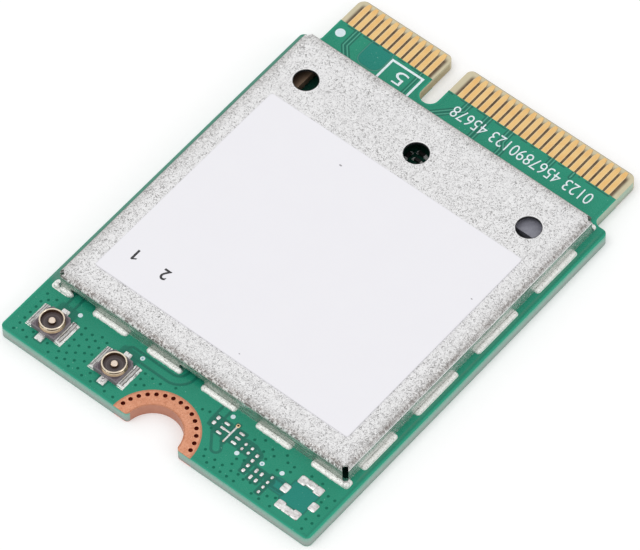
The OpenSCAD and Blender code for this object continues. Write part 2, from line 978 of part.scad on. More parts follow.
module crystal() {
    color([0.75, 0.74, 0.70])
        on_board(crystal_at) {
            translate([0, 0, crystal_h * 0.35])
                cube([crystal_w, crystal_l, crystal_h * 0.7], center = true);
            translate([-crystal_w / 2 + lid_inset, -crystal_l / 2 + lid_inset, 0])
                cube([crystal_w - 2 * lid_inset, crystal_l - 2 * lid_inset, crystal_h]);
        }
}

module front_end(i) {
    color([0.22, 0.22, 0.24])
        on_board(front_at[i])
            chip(front_w, front_w, front_h);
}

module antenna_filter(i) {
    color([0.88, 0.88, 0.84])
        on_board(filter_at[i])
            translate([-filter_w / 2, -filter_l / 2, 0])
                cube([filter_w, filter_l, filter_h]);
}

module power_coil() {
    cap_t = 0.2 * coil_h;
    color([0.30, 0.29, 0.30])
        on_board(coil_at) {
            for (z = [0, coil_h - cap_t])
                translate([-coil_w / 2, -coil_l / 2, z])
                    cube([coil_w, coil_l, cap_t]);
            translate([0, 0, cap_t])
                cylinder(d = 0.9 * coil_w, h = coil_h - 2 * cap_t);
        }
}

module two_ended(list) {
    for (part = list)
        on_board(part[0], part[1])
            translate([0, 0, part[2].z / 2])
                cube(part[2], center = true);
}

module capacitors() {
    color([0.55, 0.38, 0.25])
        two_ended(all_caps);
}

module resistors() {
    color([0.12, 0.12, 0.13])
        two_ended(all_resistors);
}

// Solder at each end of every two-ended part, sloping down to the board
module part_solder() {
    color([0.88, 0.88, 0.86])
        for (part = concat(all_caps, all_resistors))
            on_board(part[0], part[1])
                for (side = [0, 1])
                    mirror([side, 0, 0])
                        translate([part[2].x / 2, part[2].y / 2, 0])
                            rotate([90, 0, 0])
                                linear_extrude(part[2].y)
                                    end_fillet(part[2].z);
}

module end_fillet(h) {
    polygon([[0, 0], [0.35 * h + end_cap_l, 0], [0.5 * h, 0.35 * h], [0, 0.8 * h]]);
}

board_core();
varnish_top();
varnish_bottom();
contacts_top();
contacts_bottom();
screw_land();
shield_can();
shield_solder();
label();
jack_base(0);  // jack_1_base
jack_ring(0);  // jack_1_ring
jack_pin(0);  // jack_1_pin
jack_solder(0);  // jack_1_solder
jack_base(1);  // jack_2_base
jack_ring(1);  // jack_2_ring
jack_pin(1);  // jack_2_pin
jack_solder(1);  // jack_2_solder
jack_pads();
spare_jack_pads();
spare_part_pads();
test_pads();
board_print();
radio_chip();
memory_chip();
crystal();
front_end(0);  // front_end_chip_1
front_end(1);  // front_end_chip_2
antenna_filter(0);  // antenna_filter_1
antenna_filter(1);  // antenna_filter_2
power_coil();
capacitors();
resistors();
part_solder();
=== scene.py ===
import functools
import math

import bmesh
import bpy
from mathutils import Matrix, Vector, noise


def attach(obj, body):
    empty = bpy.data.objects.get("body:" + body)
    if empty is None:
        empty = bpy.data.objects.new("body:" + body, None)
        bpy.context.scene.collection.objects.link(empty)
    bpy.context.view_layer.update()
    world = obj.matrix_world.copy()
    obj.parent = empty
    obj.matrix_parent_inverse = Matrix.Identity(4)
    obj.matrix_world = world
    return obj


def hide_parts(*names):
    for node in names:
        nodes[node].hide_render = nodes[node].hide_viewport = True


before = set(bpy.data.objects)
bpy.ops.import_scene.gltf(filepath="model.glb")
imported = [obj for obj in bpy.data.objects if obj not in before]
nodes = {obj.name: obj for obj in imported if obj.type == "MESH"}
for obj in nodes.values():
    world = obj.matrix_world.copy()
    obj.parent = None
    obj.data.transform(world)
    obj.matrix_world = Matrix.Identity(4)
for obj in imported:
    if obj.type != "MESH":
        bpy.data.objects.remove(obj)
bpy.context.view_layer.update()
MM = 0.001


# Studio. The card lies on a plain white table under soft light from all round, with a broad
# lamp high on the left and a weaker one lower on the right. The camera looks down past the
# screw end, at the angle and distance measured from the photograph.
camera_data = bpy.data.cameras.new("camera")
camera_data.lens = 348.45
camera_data.sensor_width = 36
camera_data.clip_start = 0.02
camera_data.clip_end = 20
camera = bpy.data.objects.new("camera", camera_data)
bpy.context.scene.collection.objects.link(camera)
camera_right = Vector((0.76842, 0.63980, -0.01396))
camera_up = Vector((-0.51926, 0.63610, 0.57074))
camera_back = camera_right.cross(camera_up)
turn = Matrix((camera_right, camera_up, camera_back)).transposed().to_4x4()
camera.matrix_world = Matrix.Translation(Vector((128.114, -148.481, 281.011)) * MM) @ turn
bpy.context.scene.camera = camera


class Socket:
    """One output of a shader node, with Python's operators adding Math nodes to its tree."""

    def __init__(self, finish, output):
        self.finish = finish
        self.output = output

    def maths(self, operation, *others):
        return self.finish.node("ShaderNodeMath", {"operation": operation}, [self, *others])

    def __add__(self, other):
        return self.maths("ADD", other)

    def __sub__(self, other):
        return self.maths("SUBTRACT", other)

    def __rsub__(self, other):
        return self.maths("MULTIPLY_ADD", -1.0, other)

    def __mul__(self, other):
        return self.maths("MULTIPLY", other)

    def __truediv__(self, other):
        return self.maths("DIVIDE", other)

    def least(self, other):
        return self.maths("MINIMUM", other)

    def most(self, other):
        return self.maths("MAXIMUM", other)

    def size(self):
        return self.maths("ABSOLUTE")

    def below(self, edge, blur):
        """1 where this value is under edge and 0 where it is over, across a soft step."""
        return self.step(edge + blur, edge - blur)

    def above(self, edge, blur):
        return self.step(edge - blur, edge + blur)

    def within(self, middle, half, blur):
        """1 where this value is no further than half from middle, across a soft step."""
        return (self - middle).size().below(half, blur)

    def step(self, start, end):
        return self.finish.node("ShaderNodeMapRange", {"interpolation_type": "SMOOTHSTEP"},
                                {"Value": self, "From Min": start, "From Max": end})


class Finish:
    """A material whose shader is one Principled BSDF, with a way to add any other node."""

    def __init__(self, name, **fixed):
        self.material = bpy.data.materials.new(name)
        self.material.use_nodes = True
        self.tree = self.material.node_tree
        self.shader = self.tree.nodes["Principled BSDF"]
        for key, value in fixed.items():
            self.shader.inputs[key.replace("_", " ")].default_value = value

    def node(self, kind, settings, inputs, output=0):
        made = self.tree.nodes.new(kind)
        for key, value in settings.items():
            setattr(made, key, value)
        pairs = inputs.items() if isinstance(inputs, dict) else enumerate(inputs)
        for key, value in pairs:
            if isinstance(value, Socket):
                self.tree.links.new(value.output, made.inputs[key])
            else:
                made.inputs[key].default_value = value
        return Socket(self, made.outputs[output])

    def place(self):
        """X, Y and Z of the point in millimetres, from the piece's own coordinates."""
        spot = self.node("ShaderNodeTexCoord", {}, {}, "Object")
        self.spot = self.node("ShaderNodeVectorMath", {"operation": "SCALE"},
                              {"Vector": spot, "Scale": 1 / MM})
        split = self.tree.nodes.new("ShaderNodeSeparateXYZ")
        self.tree.links.new(self.spot.output, split.inputs[0])
        return [Socket(self, out) for out in split.outputs]

    def stretched(self, along):
        return self.node("ShaderNodeVectorMath", {"operation": "MULTIPLY"}, [self.spot, along])

    def noise(self, scale, detail=2.0, rough=0.5, at=None):
        return self.node("ShaderNodeTexNoise", {},
                         {"Vector": at or self.spot, "Scale": scale, "Detail": detail,
                          "Roughness": rough})

    def blend(self, factor, first, second):
        first, second = [c if isinstance(c, Socket) else (*c, 1.0) for c in (first, second)]
        return self.node("ShaderNodeMix", {"data_type": "RGBA"}, {0: factor, 6: first, 7: second},
                         2)

    def feed(self, **links):
        for key, value in links.items():
            self.tree.links.new(value.output, self.shader.inputs[key.replace("_", " ")])

    def bump(self, height, distance, strength=1.0):
        self.feed(Normal=self.node("ShaderNodeBump", {}, {"Height": height, "Strength": strength,
                                                          "Distance": distance * MM}))

    def paint(self, *names):
        """Gives the material to CAD pieces, by name, in the slots that they already have."""
        for name in names:
            for slot in nodes[name].material_slots:
                slot.material = self.material


def add_lamp(name, at, size, power):
    """A round lamp that points at the card."""
    data = bpy.data.lights.new(name, "AREA")
    data.shape = "DISK"
    data.size = size
    data.energy = power
    lamp = bpy.data.objects.new(name, data)
    bpy.context.scene.collection.objects.link(lamp)
    lamp.location = at
    lamp.rotation_euler = (-Vector(at)).to_track_quat("-Z", "Y").to_euler()


add_lamp("top_lamp", (-0.12, -0.16, 0.5), 0.3, 0.5)
add_lamp("side_lamp", (0.45, 0.05, 0.3), 0.2, 0.14)

world = bpy.data.worlds.new("world")
world.use_nodes = True
world_shader = world.node_tree.nodes["Background"]
world_shader.inputs["Color"].default_value = (1.0, 1.0, 1.0, 1.0)
world_shader.inputs["Strength"].default_value = 0.8
bpy.context.scene.world = world
bpy.context.scene.view_settings.view_transform = "Standard"

table_mesh = bpy.data.meshes.new("table")
table_half = 3.0
table_drop = 0.00002
corners = ((-1, -1), (1, -1), (1, 1), (-1, 1))
table_mesh.from_pydata([(x * table_half, y * table_half, -table_drop) for x, y in corners], [],
                       [(0, 1, 2, 3)])
table = bpy.data.objects.new("table", table_mesh)
bpy.context.scene.collection.objects.link(table)
table_finish = Finish("table_paint", Roughness=0.9, Base_Color=(0.86, 0.86, 0.86, 1),
                      Emission_Strength=1.0, Specular_IOR_Level=0.0)
ray = table_finish.tree.nodes.new("ShaderNodeLightPath")
camera_ray = Socket(table_finish, ray.outputs["Is Camera Ray"])
glossy_ray = Socket(table_finish, ray.outputs["Is Glossy Ray"])
table_finish.feed(Emission_Color=table_finish.blend(camera_ray.most(glossy_ray), (0.0, 0.0, 0.0),
                                                     (0.2, 0.2, 0.2)))
table_mesh.materials.append(table_finish.material)


# Board core. A laminate of woven glass and resin 0.8 mm thick, routed to outline with its
# contact tip ground to a slope. Its cut edges are grey-beige with fine layers, stained green
# where the varnish ran over the upper edge, and the resin between the contacts is dark.
laminate = Finish("laminate", Roughness=0.55)
x, y, z = laminate.place()
layers = laminate.noise(9.0, 3.0, 0.6, laminate.stretched((0.5, 0.5, 5.0)))
weave = laminate.noise(2.2, 2.0, 0.5)
cut = laminate.noise(1.3, 3.0, 0.6)
run_down = (cut - 0.5) * 0.25
tongue = y.above(11.2, 0.2)
edge_colour = laminate.blend(z.step(0.0, 0.30), (0.29, 0.325, 0.305), (0.325, 0.415, 0.37))
edge_colour = laminate.blend((z + run_down).step(0.25, 0.55), edge_colour, (0.27, 0.475, 0.395))
edge_colour = laminate.blend((z + run_down).step(0.50, 0.78), edge_colour, (0.105, 0.43, 0.31))
tongue_colour = laminate.blend(z.step(0.1, 0.5), (0.37, 0.42, 0.34), (0.42, 0.56, 0.43))
edge_colour = laminate.blend(tongue, edge_colour, tongue_colour)
edge_colour = laminate.blend(layers.above(0.55, 0.15) * 0.25, edge_colour, (0.50, 0.53, 0.48))
slot_x, slot_half = -2.625, 0.6
# The key slot's walls are painted lighter towards the top, with painted shade at their foot.
slot_wall = x.within(slot_x, slot_half + 0.06, 0.02) * y.above(11.8, 0.1)
slot_tone = laminate.blend(z.step(0.45, 0.75), (0.47, 0.40, 0.235), (0.68, 0.63, 0.43))
edge_colour = laminate.blend(slot_wall, edge_colour, slot_tone)
tip_colour = laminate.blend(weave, (0.56, 0.50, 0.33), (0.70, 0.62, 0.43))
top_z, bared = 0.8, 0.045
on_top = z.above(top_z - bared, 0.002)
under = z.below(bared, 0.002)
face = (on_top.most(under) * y.above(13.0, 0.05)).most(y.above(14.6, 0.05))
colour = laminate.blend(face, edge_colour, tip_colour)
# A painted shade line along the very tip of the sloped end.
colour = laminate.blend(y.above(14.955, 0.02) * 0.55, colour, (0.22, 0.16, 0.11))
# The laminate between the contacts is darkened, with a random tone, fading out before the tip.
row = x.within(-6.5, 3.12, 0.1).most(x.within(4.0, 5.62, 0.1))
dark_between_contacts = row * y.below(14.62, 0.2) * y.above(13.0, 0.02) * on_top.most(under)
dark_between_contacts = dark_between_contacts * (laminate.noise(3.0) * 0.3 + 0.75)
laminate.feed(Base_Color=laminate.blend(dark_between_contacts, colour, (0.070, 0.032, 0.010)),
              Roughness=layers * 0.15 + 0.5)
laminate.bump(layers * 0.4 + laminate.noise(30.0) * 0.3 + cut * 0.5, 0.02, 0.6)
laminate.paint("board_core")


# Board varnish. A smooth green coat on each face, printed with an opening for every bare pad.
# Over solid copper it looks a clear green, over bare laminate a deeper blue-green, and the
# etched gaps round each copper line under it show as fine dark lines with a soft step.
board_half, tongue_half = 11.0, 9.925
body_top, end_y = 11.0, -15.0
line_half, gap_half = 0.05, 0.13
feed_half, feed_gap_half = 0.19, 0.36
jack_x, jack_y = (-8.77, -4.26), -13.12
can_x, can_y0, can_y1 = 10.3, -10.92, 10.63


def greatest(fields):
    """The largest of several values at each point."""
    return functools.reduce(Socket.most, fields)


def distance(across, along):
    return (across * across + along * along).maths("SQRT")


def line_field(x, y, points):
    """Distance from a line of straight runs through the points, in millimetres."""
    fields = []
    for (ax, ay), (bx, by) in zip(points, points[1:]):
        dx, dy = bx - ax, by - ay
        span = dx * dx + dy * dy
        px, py = x - ax, y - ay
        along = (px * (dx / span) + py * (dy / span)).least(1.0).most(0.0)
        gap_x, gap_y = px - along * dx, py - along * dy
        fields.append(distance(gap_x, gap_y))
    return functools.reduce(Socket.least, fields)


def plate_field(x, y, x0, x1, y0, y1, corner=0.0):
    """Signed distance from a rectangle, negative inside it, with its corners rounded."""
    qx = (x - (x0 + x1) / 2).size() - ((x1 - x0) / 2 - corner)
    qy = (y - (y0 + y1) / 2).size() - ((y1 - y0) / 2 - corner)
    return distance(qx.most(0.0), qy.most(0.0)) + qx.most(qy).least(0.0) - corner


def arc_points(cx, cy, r, start, end, steps):
    turns = [math.radians(start + (end - start) * i / steps) for i in range(steps + 1)]
    return [(cx + r * math.cos(turn_by), cy + r * math.sin(turn_by)) for turn_by in turns]


fine_lines = [
    [(-8.68, 13.1), (-8.68, 11.74), (-8.2, 11.2)],
    [(-8.46, 13.1), (-8.46, 11.82), (-7.9, 11.2)],
    [(-3.95, 13.1), (-3.95, 11.2)],
    [(-0.62, 13.1), (-0.62, 12.52), (-1.9, 11.2)],
    [(-0.38, 13.1), (-0.38, 12.42), (-1.6, 11.2)],
    [(0.84, 13.1), (0.84, 11.2)],
    [(1.08, 13.1), (1.08, 11.2)],
    [(2.38, 13.1), (2.38, 12.1), (2.72, 11.65), (2.72, 11.2)],
    [(2.62, 13.1), (2.62, 12.14), (2.94, 11.7), (2.94, 11.2)],
    [(5.42, 13.1), (5.42, 12.5)],
    [(5.62, 13.1), (5.62, 12.5)],
    [(7.0, 13.1), (7.0, 12.6)],
]
hidden_lines = [
    [(-8.2, 12.9), (-8.2, 9.0), (-6.0, 6.8), (-6.0, -2.0)],
    [(3.1, 12.9), (3.1, 7.0), (4.6, 5.5), (4.6, 1.0)],
    [(3.35, 12.9), (3.35, 7.1), (4.85, 5.6), (4.85, 1.0)],
]
feed_lines = [
    [(-8.77, -12.6), (-8.80, -11.2), (-8.80, -10.5)],
    [(-4.26, -12.6), (-4.26, -11.68), (-1.53, -11.68)]
    + arc_points(-1.53, -10.8, 0.88, -80, 0, 5),
    [(6.97, -13.3), (7.8, -13.3)],
    [(4.5, -12.37), (4.95, -12.37), (5.45, -12.57), (5.45, -13.37), (6.4, -13.37),
     (6.97, -13.4)],
    [(2.23, -11.3), (2.23, -12.3)],
    [(2.75, -12.75), (3.4, -13.6)],
]
bare_plates = [
    (-7.55, -5.95, 11.32, 13.3, 0.55),
    (8.05, 9.75, -13.95, -12.4, 0.1),
    (7.15, 8.1, -13.75, -12.85, 0.15),
]
pad_columns = [(2.23, -12.68, -11.80, 0.28), (2.85, -12.90, -11.80, 0.32),
               (3.4, -13.14, -11.55, 0.17), (3.9, -12.90, -11.80, 0.33),
               (4.5, -12.96, -12.14, 0.21), (4.95, -12.94, -12.16, 0.22),
               (5.45, -13.95, -12.36, 0.23), (6.03, -14.09, -13.05, 0.21),
               (6.4, -14.07, -13.07, 0.21), (6.97, -14.48, -12.92, 0.21)]


def varnish(name, printed_face):
    f = Finish(name, IOR=1.5, Specular_IOR_Level=0.3)
    x, y, z = f.place()
    across = x.size()
    tongue_part = y.above(body_top, 0.01)
    half_width = board_half - tongue_part * (board_half - tongue_half)
    from_edge = (half_width - across).least(y - end_y)
    slot = line_field(x, y, [(slot_x, 12.1), (slot_x, 16.0)]) - slot_half
    from_edge = from_edge.least(slot)
    margin_line = from_edge.within(0.2, 0.05, 0.09) * (x.above(10.5, 0.1) * 0.25 + 0.14)
    dark = [margin_line]
    if printed_face:
        fields = [line_field(x, y, points) for points in fine_lines]
        # Painted highlights along the crests of the fine lines, and later round the first bare plate's
        # rim.
        crest_highlight = [field.below(0.02, 0.025) for field in fields]
        dark += [field.below(gap_half, 0.02) * field.above(line_half, 0.015) * 0.85
                 for field in fields]
        for points in feed_lines:
            field = line_field(x, y, points)
            dark.append(field.below(feed_gap_half, 0.03) * field.above(feed_half, 0.03) * 0.75)
        for cx, y0, y1, half in pad_columns:
            field = plate_field(x, y, cx - half, cx + half, y0, y1, 0.08)
            dark.append(field.below(0.02, 0.03) * 0.85)
        for px in jack_x:
            for y0, y1 in ((-12.2, -11.75), (-14.5, -13.95)):
                field = plate_field(x, y, px - 0.36, px + 0.36, y0, y1, 0.05)
                dark.append(field.below(0.0, 0.03) * 0.7)
            field = plate_field(x, y, px - 0.6, px + 0.74, -12.5, -11.55, 0.2)
            dark.append(field.below(0.0, 0.08) * 0.62)
        fields = [plate_field(x, y, *plate) for plate in bare_plates]
        clear = greatest([field.below(0.0, 0.03) for field in fields])
        dark += [field.size().below(0.05, 0.03) * 0.6 for field in fields]
        crest_highlight = greatest([*crest_highlight, fields[0].size().below(0.02, 0.025) * 0.8])
        stub = f.noise(1.0, 0.0, 0.0, f.stretched((2.0, 0.05, 0.0))).above(0.47, 0.02)
        dark.append(y.within(12.95, 0.04, 0.02) * stub * across.below(9.5, 0.05))
    else:
        for points in hidden_lines:
            field = line_field(x, y, points)
            dark.append(field.below(gap_half, 0.02) * field.above(line_half, 0.015))
    dark = greatest(dark)
    cloud = f.noise(0.35, 3.0, 0.6)
    grain = f.noise(14.0, 2.0, 0.6)
    green = f.blend(cloud.above(0.5, 0.25), (0.014, 0.258, 0.158), (0.020, 0.285, 0.180))
    # A painted highlight along the rolled edge of the coat.
    rolled_edge_highlight = from_edge.below(0.07, 0.08)
    green = f.blend(rolled_edge_highlight, green, (0.022, 0.345, 0.222))
    # A wider painted highlight along the right-hand edge of the coat.
    right_edge_highlight = x.above(10.84, 0.05) * from_edge.below(0.15, 0.1)
    green = f.blend(right_edge_highlight * 0.6, green, (0.026, 0.370, 0.225))
    # Painted shade in a greyish band beside the can's right-hand wall.
    shade_beside_can = x.within(10.68, 0.06, 0.05) * y.size().below(10.4, 0.3)
    green = f.blend(shade_beside_can * 0.35, green, (0.11, 0.20, 0.15))
    shaded = x.below(-10.45, 0.1) * y.above(-10.8, 0.3) * y.below(10.8, 0.2)
    green = f.blend(shaded * 0.45, green, (0.20, 0.30, 0.265))
    if printed_face:
        green = f.blend(clear, green, (0.010, 0.235, 0.180))
    green = f.blend(dark * 0.85, green, (0.006, 0.105, 0.078))
    if printed_face:
        # The painted crest highlights go on last.
        green = f.blend(crest_highlight * 0.55, green, (0.20, 0.50, 0.40))
    dust = f.noise(9.0, 2.0, 0.5).above(0.735, 0.012)
    green = f.blend(dust * 0.6, green, (0.30, 0.62, 0.50))
    # Painted shade: the coat is made nearly black under the can, except in the middle near the
    # screw-end wall.
    inner = y.step(-10.4, -8.8).most(across.above(9.5, 0.2) * y.above(can_y0 + 0.04, 0.02))
    shade_in_can = across.below(can_x - 0.03, 0.02) * y.below(can_y1 - 0.035, 0.02) * inner
    green = f.blend(shade_in_can * 0.9, green, (0.003, 0.020, 0.015))
    f.feed(Base_Color=green, Roughness=grain * 0.16 + 0.2)
    relief = 1.0 - dark * 0.7
    if printed_face:
        relief = relief - clear * 0.6
    f.bump(relief + grain * 0.12, 0.02, 0.8)
    return f


varnish("varnish_top", True).paint("varnish_top")
varnish("varnish_bottom", False).paint("varnish_bottom")


# Varnished-over vias. Small plated holes that the varnish has filled, seen as dark dots 0.2 mm
# across on the copper plane. They stand in loose rows along the edges and between the pads.
via_rows = {
    -14.61: [-10.3, -9.35, -7.78, -7.17, -6.32, -5.36, -4.73, -3.71, -3.11, 3.6, 4.09, 4.54, 5.0,
             5.49, 6.74, 7.27, 8.03, 10.28],
    -14.39: [-9.82, -6.77, -5.82, 3.21],
    -14.2: [-8.2, -7.37, -5.09, 3.83, 4.36, 4.96, 5.83, 7.51],
    -14.12: [-10.26, -9.28, -6.31, 5.41, 6.26],
    -14.01: [-6.97, 3.0, 7.94, 10.07, 10.5],
    -13.82: [-5.84, 4.72],
    -13.7: [-10.28, -6.59],
    -13.57: [-7.16],
    -13.41: [-6.19, 4.7, 10.46],
    -13.23: [-10.28, -6.75, -5.81, -2.66, 5.08],
    -13.09: [-7.21],
    -12.95: [-6.26, -2.29],
    -12.76: [-10.28, -2.71, 2.35, 10.48],
    -12.66: [-6.68, -5.81, 10.02],
    -12.58: [-7.13, 6.86],
    -12.43: [-6.26, 5.93],
    -12.33: [-10.3, -2.73, -2.21, -1.65],
    -12.23: [-7.84, -6.65, 7.5],
    -12.13: [-7.22, -5.67, 1.19, 5.53, 10.07, 10.53],
    -12.0: [-10.04, -6.12, -0.82, 1.61, 6.16],
    -11.85: [4.67, 7.01, 7.47],
    -11.71: [-10.36, -9.68, 5.83, 8.58, 9.34],
    -11.51: [5.15, 6.69],
}
via_radius, via_sides, via_lift = 0.09, 12, 0.0006
via_finish = Finish("via_varnish", Specular_IOR_Level=0.15)
via_finish.place()
via_finish.feed(Base_Color=via_finish.blend(via_finish.noise(6.0), (0.001, 0.105, 0.060),
                                            (0.006, 0.170, 0.105)),
                Roughness=via_finish.noise(20.0) * 0.2 + 0.2)


def new_piece(name, mesh, *materials):
    piece = bpy.data.objects.new(name, mesh)
    bpy.context.scene.collection.objects.link(piece)
    for material in materials:
        mesh.materials.append(material)
    return piece


def scatter(name, spots, radius, sides, finish):
    """Flat discs on the given spots, made by one Geometry Nodes tree and then kept as a mesh."""
    tree = bpy.data.node_groups.new(name, "GeometryNodeTree")
    tree.interface.new_socket("Geometry", in_out="INPUT", socket_type="NodeSocketGeometry")
    size = tree.interface.new_socket("Radius", in_out="INPUT", socket_type="NodeSocketFloat")
    tree.interface.new_socket("Geometry", in_out="OUTPUT", socket_type="NodeSocketGeometry")
    start = tree.nodes.new("NodeGroupInput")
    disc = tree.nodes.new("GeometryNodeMeshCircle")
    disc.fill_type = "NGON"
    disc.inputs["Vertices"].default_value = sides
    place = tree.nodes.new("GeometryNodeInstanceOnPoints")
    real = tree.nodes.new("GeometryNodeRealizeInstances")
    paint = tree.nodes.new("GeometryNodeSetMaterial")
    paint.inputs["Material"].default_value = finish.material
    end = tree.nodes.new("NodeGroupOutput")
    for source, target in ((start.outputs["Geometry"], place.inputs["Points"]),
                           (start.outputs["Radius"], disc.inputs["Radius"]),
                           (disc.outputs["Mesh"], place.inputs["Instance"]),
                           (place.outputs["Instances"], real.inputs["Geometry"]),
                           (real.outputs["Geometry"], paint.inputs["Geometry"]),
                           (paint.outputs["Geometry"], end.inputs["Geometry"])):
        tree.links.new(source, target)
    seeds = bpy.data.meshes.new(name + "_spots")
    seeds.from_pydata([Vector(spot) * MM for spot in spots], [], [])
    source = new_piece(name + "_source", seeds)
    grow = source.modifiers.new("grow", "NODES")
    grow.node_group = tree
    grow[size.identifier] = radius * MM
    graph = bpy.context.evaluated_depsgraph_get()
    mesh = bpy.data.meshes.new_from_object(source.evaluated_get(graph))
    bpy.data.objects.remove(source)
    return new_piece(name, mesh)


spots = [(vx, vy, top_z + via_lift) for vy, row in via_rows.items() for vx in row]
vias = scatter("varnished_vias", spots, via_radius, via_sides, via_finish)
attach(vias, "root")


# Contacts. Gold plated copper, flush with the varnish, slightly satin with faint marks along
# the way that the socket's springs wipe. Both faces of the tongue have the same finish.
gold = Finish("gold", Metallic=1.0)
x, y, z = gold.place()
contact_pitch = 0.5
wipe = gold.noise(1.0, 3.0, 0.6, gold.stretched((16.0, 1.1, 0.0)))
cloud = gold.noise(1.4, 2.0)
side = (x / contact_pitch).maths("FRACT") - 0.5
plate = gold.blend(cloud.above(0.5, 0.25), (0.97, 0.60, 0.235), (1.0, 0.69, 0.31))
# Painted highlights along both sides of each contact on the top face.
side_highlight = side.size().above(0.29, 0.025) * z.above(0.4, 0.1)
gold.feed(Base_Color=gold.blend(side_highlight * 0.55, plate, (1.0, 0.88, 0.62)),
          Roughness=wipe * 0.16 + 0.32)
gold.bump(wipe, 0.004, 0.5)
gold.paint("contacts_top", "contacts_bottom")


# Screw land. Bare copper on both faces and on the notch wall, with fifteen plated holes. It is
# matt and mottled, deep red down the holes, and darker along its rims and down the wall.
copper = Finish("copper", Metallic=1.0)
x, y, z = copper.place()
mottle = copper.noise(3.0, 4.0, 0.65)
fleck = copper.noise(13.0, 3.0, 0.6)
face = z.above(top_z - 0.01, 0.004).most(z.below(0.01, 0.004))
from_notch = distance(x, y - end_y)
skin = copper.blend(mottle.above(0.5, 0.22), (0.74, 0.315, 0.185), (0.86, 0.42, 0.265))
skin = copper.blend(fleck.below(0.40, 0.04) * 0.45, skin, (0.42, 0.15, 0.085))
skin = copper.blend(fleck.above(0.62, 0.04) * 0.4, skin, (0.98, 0.62, 0.46))
rims = from_notch.above(2.66, 0.05).most(from_notch.below(1.83, 0.05))
skin = copper.blend(rims * 0.5, skin, (0.42, 0.17, 0.10))
wall_skin = copper.blend(mottle, (0.46, 0.21, 0.145), (0.60, 0.31, 0.22))
skin = copper.blend(face, wall_skin, skin)
in_hole = from_notch.above(1.9, 0.01) * (1.0 - face)
skin = copper.blend(in_hole, skin, (0.55, 0.10, 0.05))
copper.feed(Base_Color=skin, Roughness=mottle * 0.2 + 0.36)
copper.bump(mottle * 0.5 + fleck * 0.5, 0.012, 0.6)
copper.paint("screw_land")


# Shield can. One sheet of tin plated steel folded down on four sides. The lid is matt with short
# dark marks from drawing, each with a painted highlight beside it, and painted shade towards its
# edges. The folds are scored across, with painted highlights among the scores, and darkened in
# brown speckled patches that are partly wear and partly painted shade. Painted highlights run
# along the lower folds, and painted shade down the far folds. The walls are bright enough to
# mirror the solder and the board, and their colour adds painted reflections of both. The vents
# have painted highlights on their rims and painted shade down their holes.
tin = Finish("tinned_sheet")
x, y, z = tin.place()
bead_start, bead_pitch, bead_run = -7.62, 3.9, 2.5
vent_x, vent_y, vent_rim, vent_bore = (-8.1, -0.1, 7.9), 7.8, 0.80, 0.765
to_side = can_x - x.size()
to_end = (y - can_y0).least(can_y1 - y)
to_edge = to_side.least(to_end)
flank = (to_side - to_end).below(0.0, 0.01)
along = x + flank * (y - x)
wall = z.below(1.755, 0.025)
warp = tin.node("ShaderNodeVectorMath", {"operation": "ADD"},
                [tin.spot, tin.node("ShaderNodeTexNoise", {}, {"Vector": tin.spot, "Scale": 3.0,
                                                               "Detail": 2.0}, "Color")])
near = to_edge.below(0.45, 0.45)


def drawn_marks(shift):
    """Short strokes in three directions, 1 on a stroke, with the whole pattern moved by shift."""
    strokes = []
    moved = tin.node("ShaderNodeVectorMath", {"operation": "ADD"}, [warp, (*shift, 0.0)])
    for turn_by, length, scale in ((0.4, 2.4, 6.6), (-0.9, 2.2, 7.4), (1.9, 2.0, 6.0)):
        run = tin.node("ShaderNodeVectorRotate", {"rotation_type": "Z_AXIS"},
                       {"Vector": moved, "Angle": turn_by})
        run = tin.node("ShaderNodeVectorMath", {"operation": "MULTIPLY"},
                       [run, (1.0, length, 0.6)])
        cells = tin.noise(scale, 1.5, 0.45, run) + near * 0.04
        strokes.append(cells.above(0.65, 0.025))
    return greatest(strokes)


marks = drawn_marks((0.0, 0.0))
mark_highlights = drawn_marks((0.05, -0.045))
pits = tin.noise(13.0, 2.0, 0.5).above(0.62, 0.04)
glints = tin.noise(9.0, 2.0, 0.5).below(0.36, 0.04)
cloud = tin.noise(0.8, 3.0, 0.6)
patch = tin.noise(1.9, 3.0, 0.65).above(0.48, 0.10)
tone = tin.blend(cloud.above(0.5, 0.3), (0.885, 0.880, 0.884), (0.935, 0.930, 0.934))
# Painted shade: the sheet darkens towards the folds.
tone = tin.blend(near * 0.7, tone, (0.68, 0.665, 0.65))
tone = tin.blend(glints * 0.5, tone, (0.99, 0.99, 0.99))
tone = tin.blend(pits * 0.38, tone, (0.34, 0.33, 0.33))
# Painted highlights beside each dark mark, from the same strokes moved a little.
tone = tin.blend(mark_highlights * 0.75, tone, (1.0, 1.0, 1.0))
tone = tin.blend(marks * 0.68, tone, (0.19, 0.18, 0.178))
far_edge = 0.3
far = x.below(far_edge - can_x, 0.06).most(y.above(can_y1 - far_edge, 0.06))
# Brown speckled patches along the folds, partly wear and partly painted shade, weaker on the far
# folds.
band_at = 0.155 - flank * 0.055
band = to_edge.within(band_at, 0.085, 0.07) * (1.0 - far * 0.7)
speckle = tin.noise(6.5, 3.0, 0.65).above(0.49, 0.07)
tone = tin.blend(band * (patch * 0.5 + 0.5) * (speckle * 0.6 + 0.25), tone, (0.20, 0.17, 0.155))
across = tin.node("ShaderNodeCombineXYZ", {}, [along * 12.0, to_edge * 3.2, z * 3.2])
score = tin.noise(1.0, 3.0, 0.7, across)
scored = to_edge.below(0.36, 0.24) * (patch * 0.5 + 0.5) * (1.0 - far * 0.75) * (1.0 - flank * 0.35)
# Dark scores across the folds, with painted highlights between them.
tone = tin.blend(score.above(0.56, 0.05) * scored * 0.7, tone, (0.22, 0.19, 0.17))
tone = tin.blend(score.below(0.42, 0.05) * scored * 0.75, tone, (0.98, 0.97, 0.95))
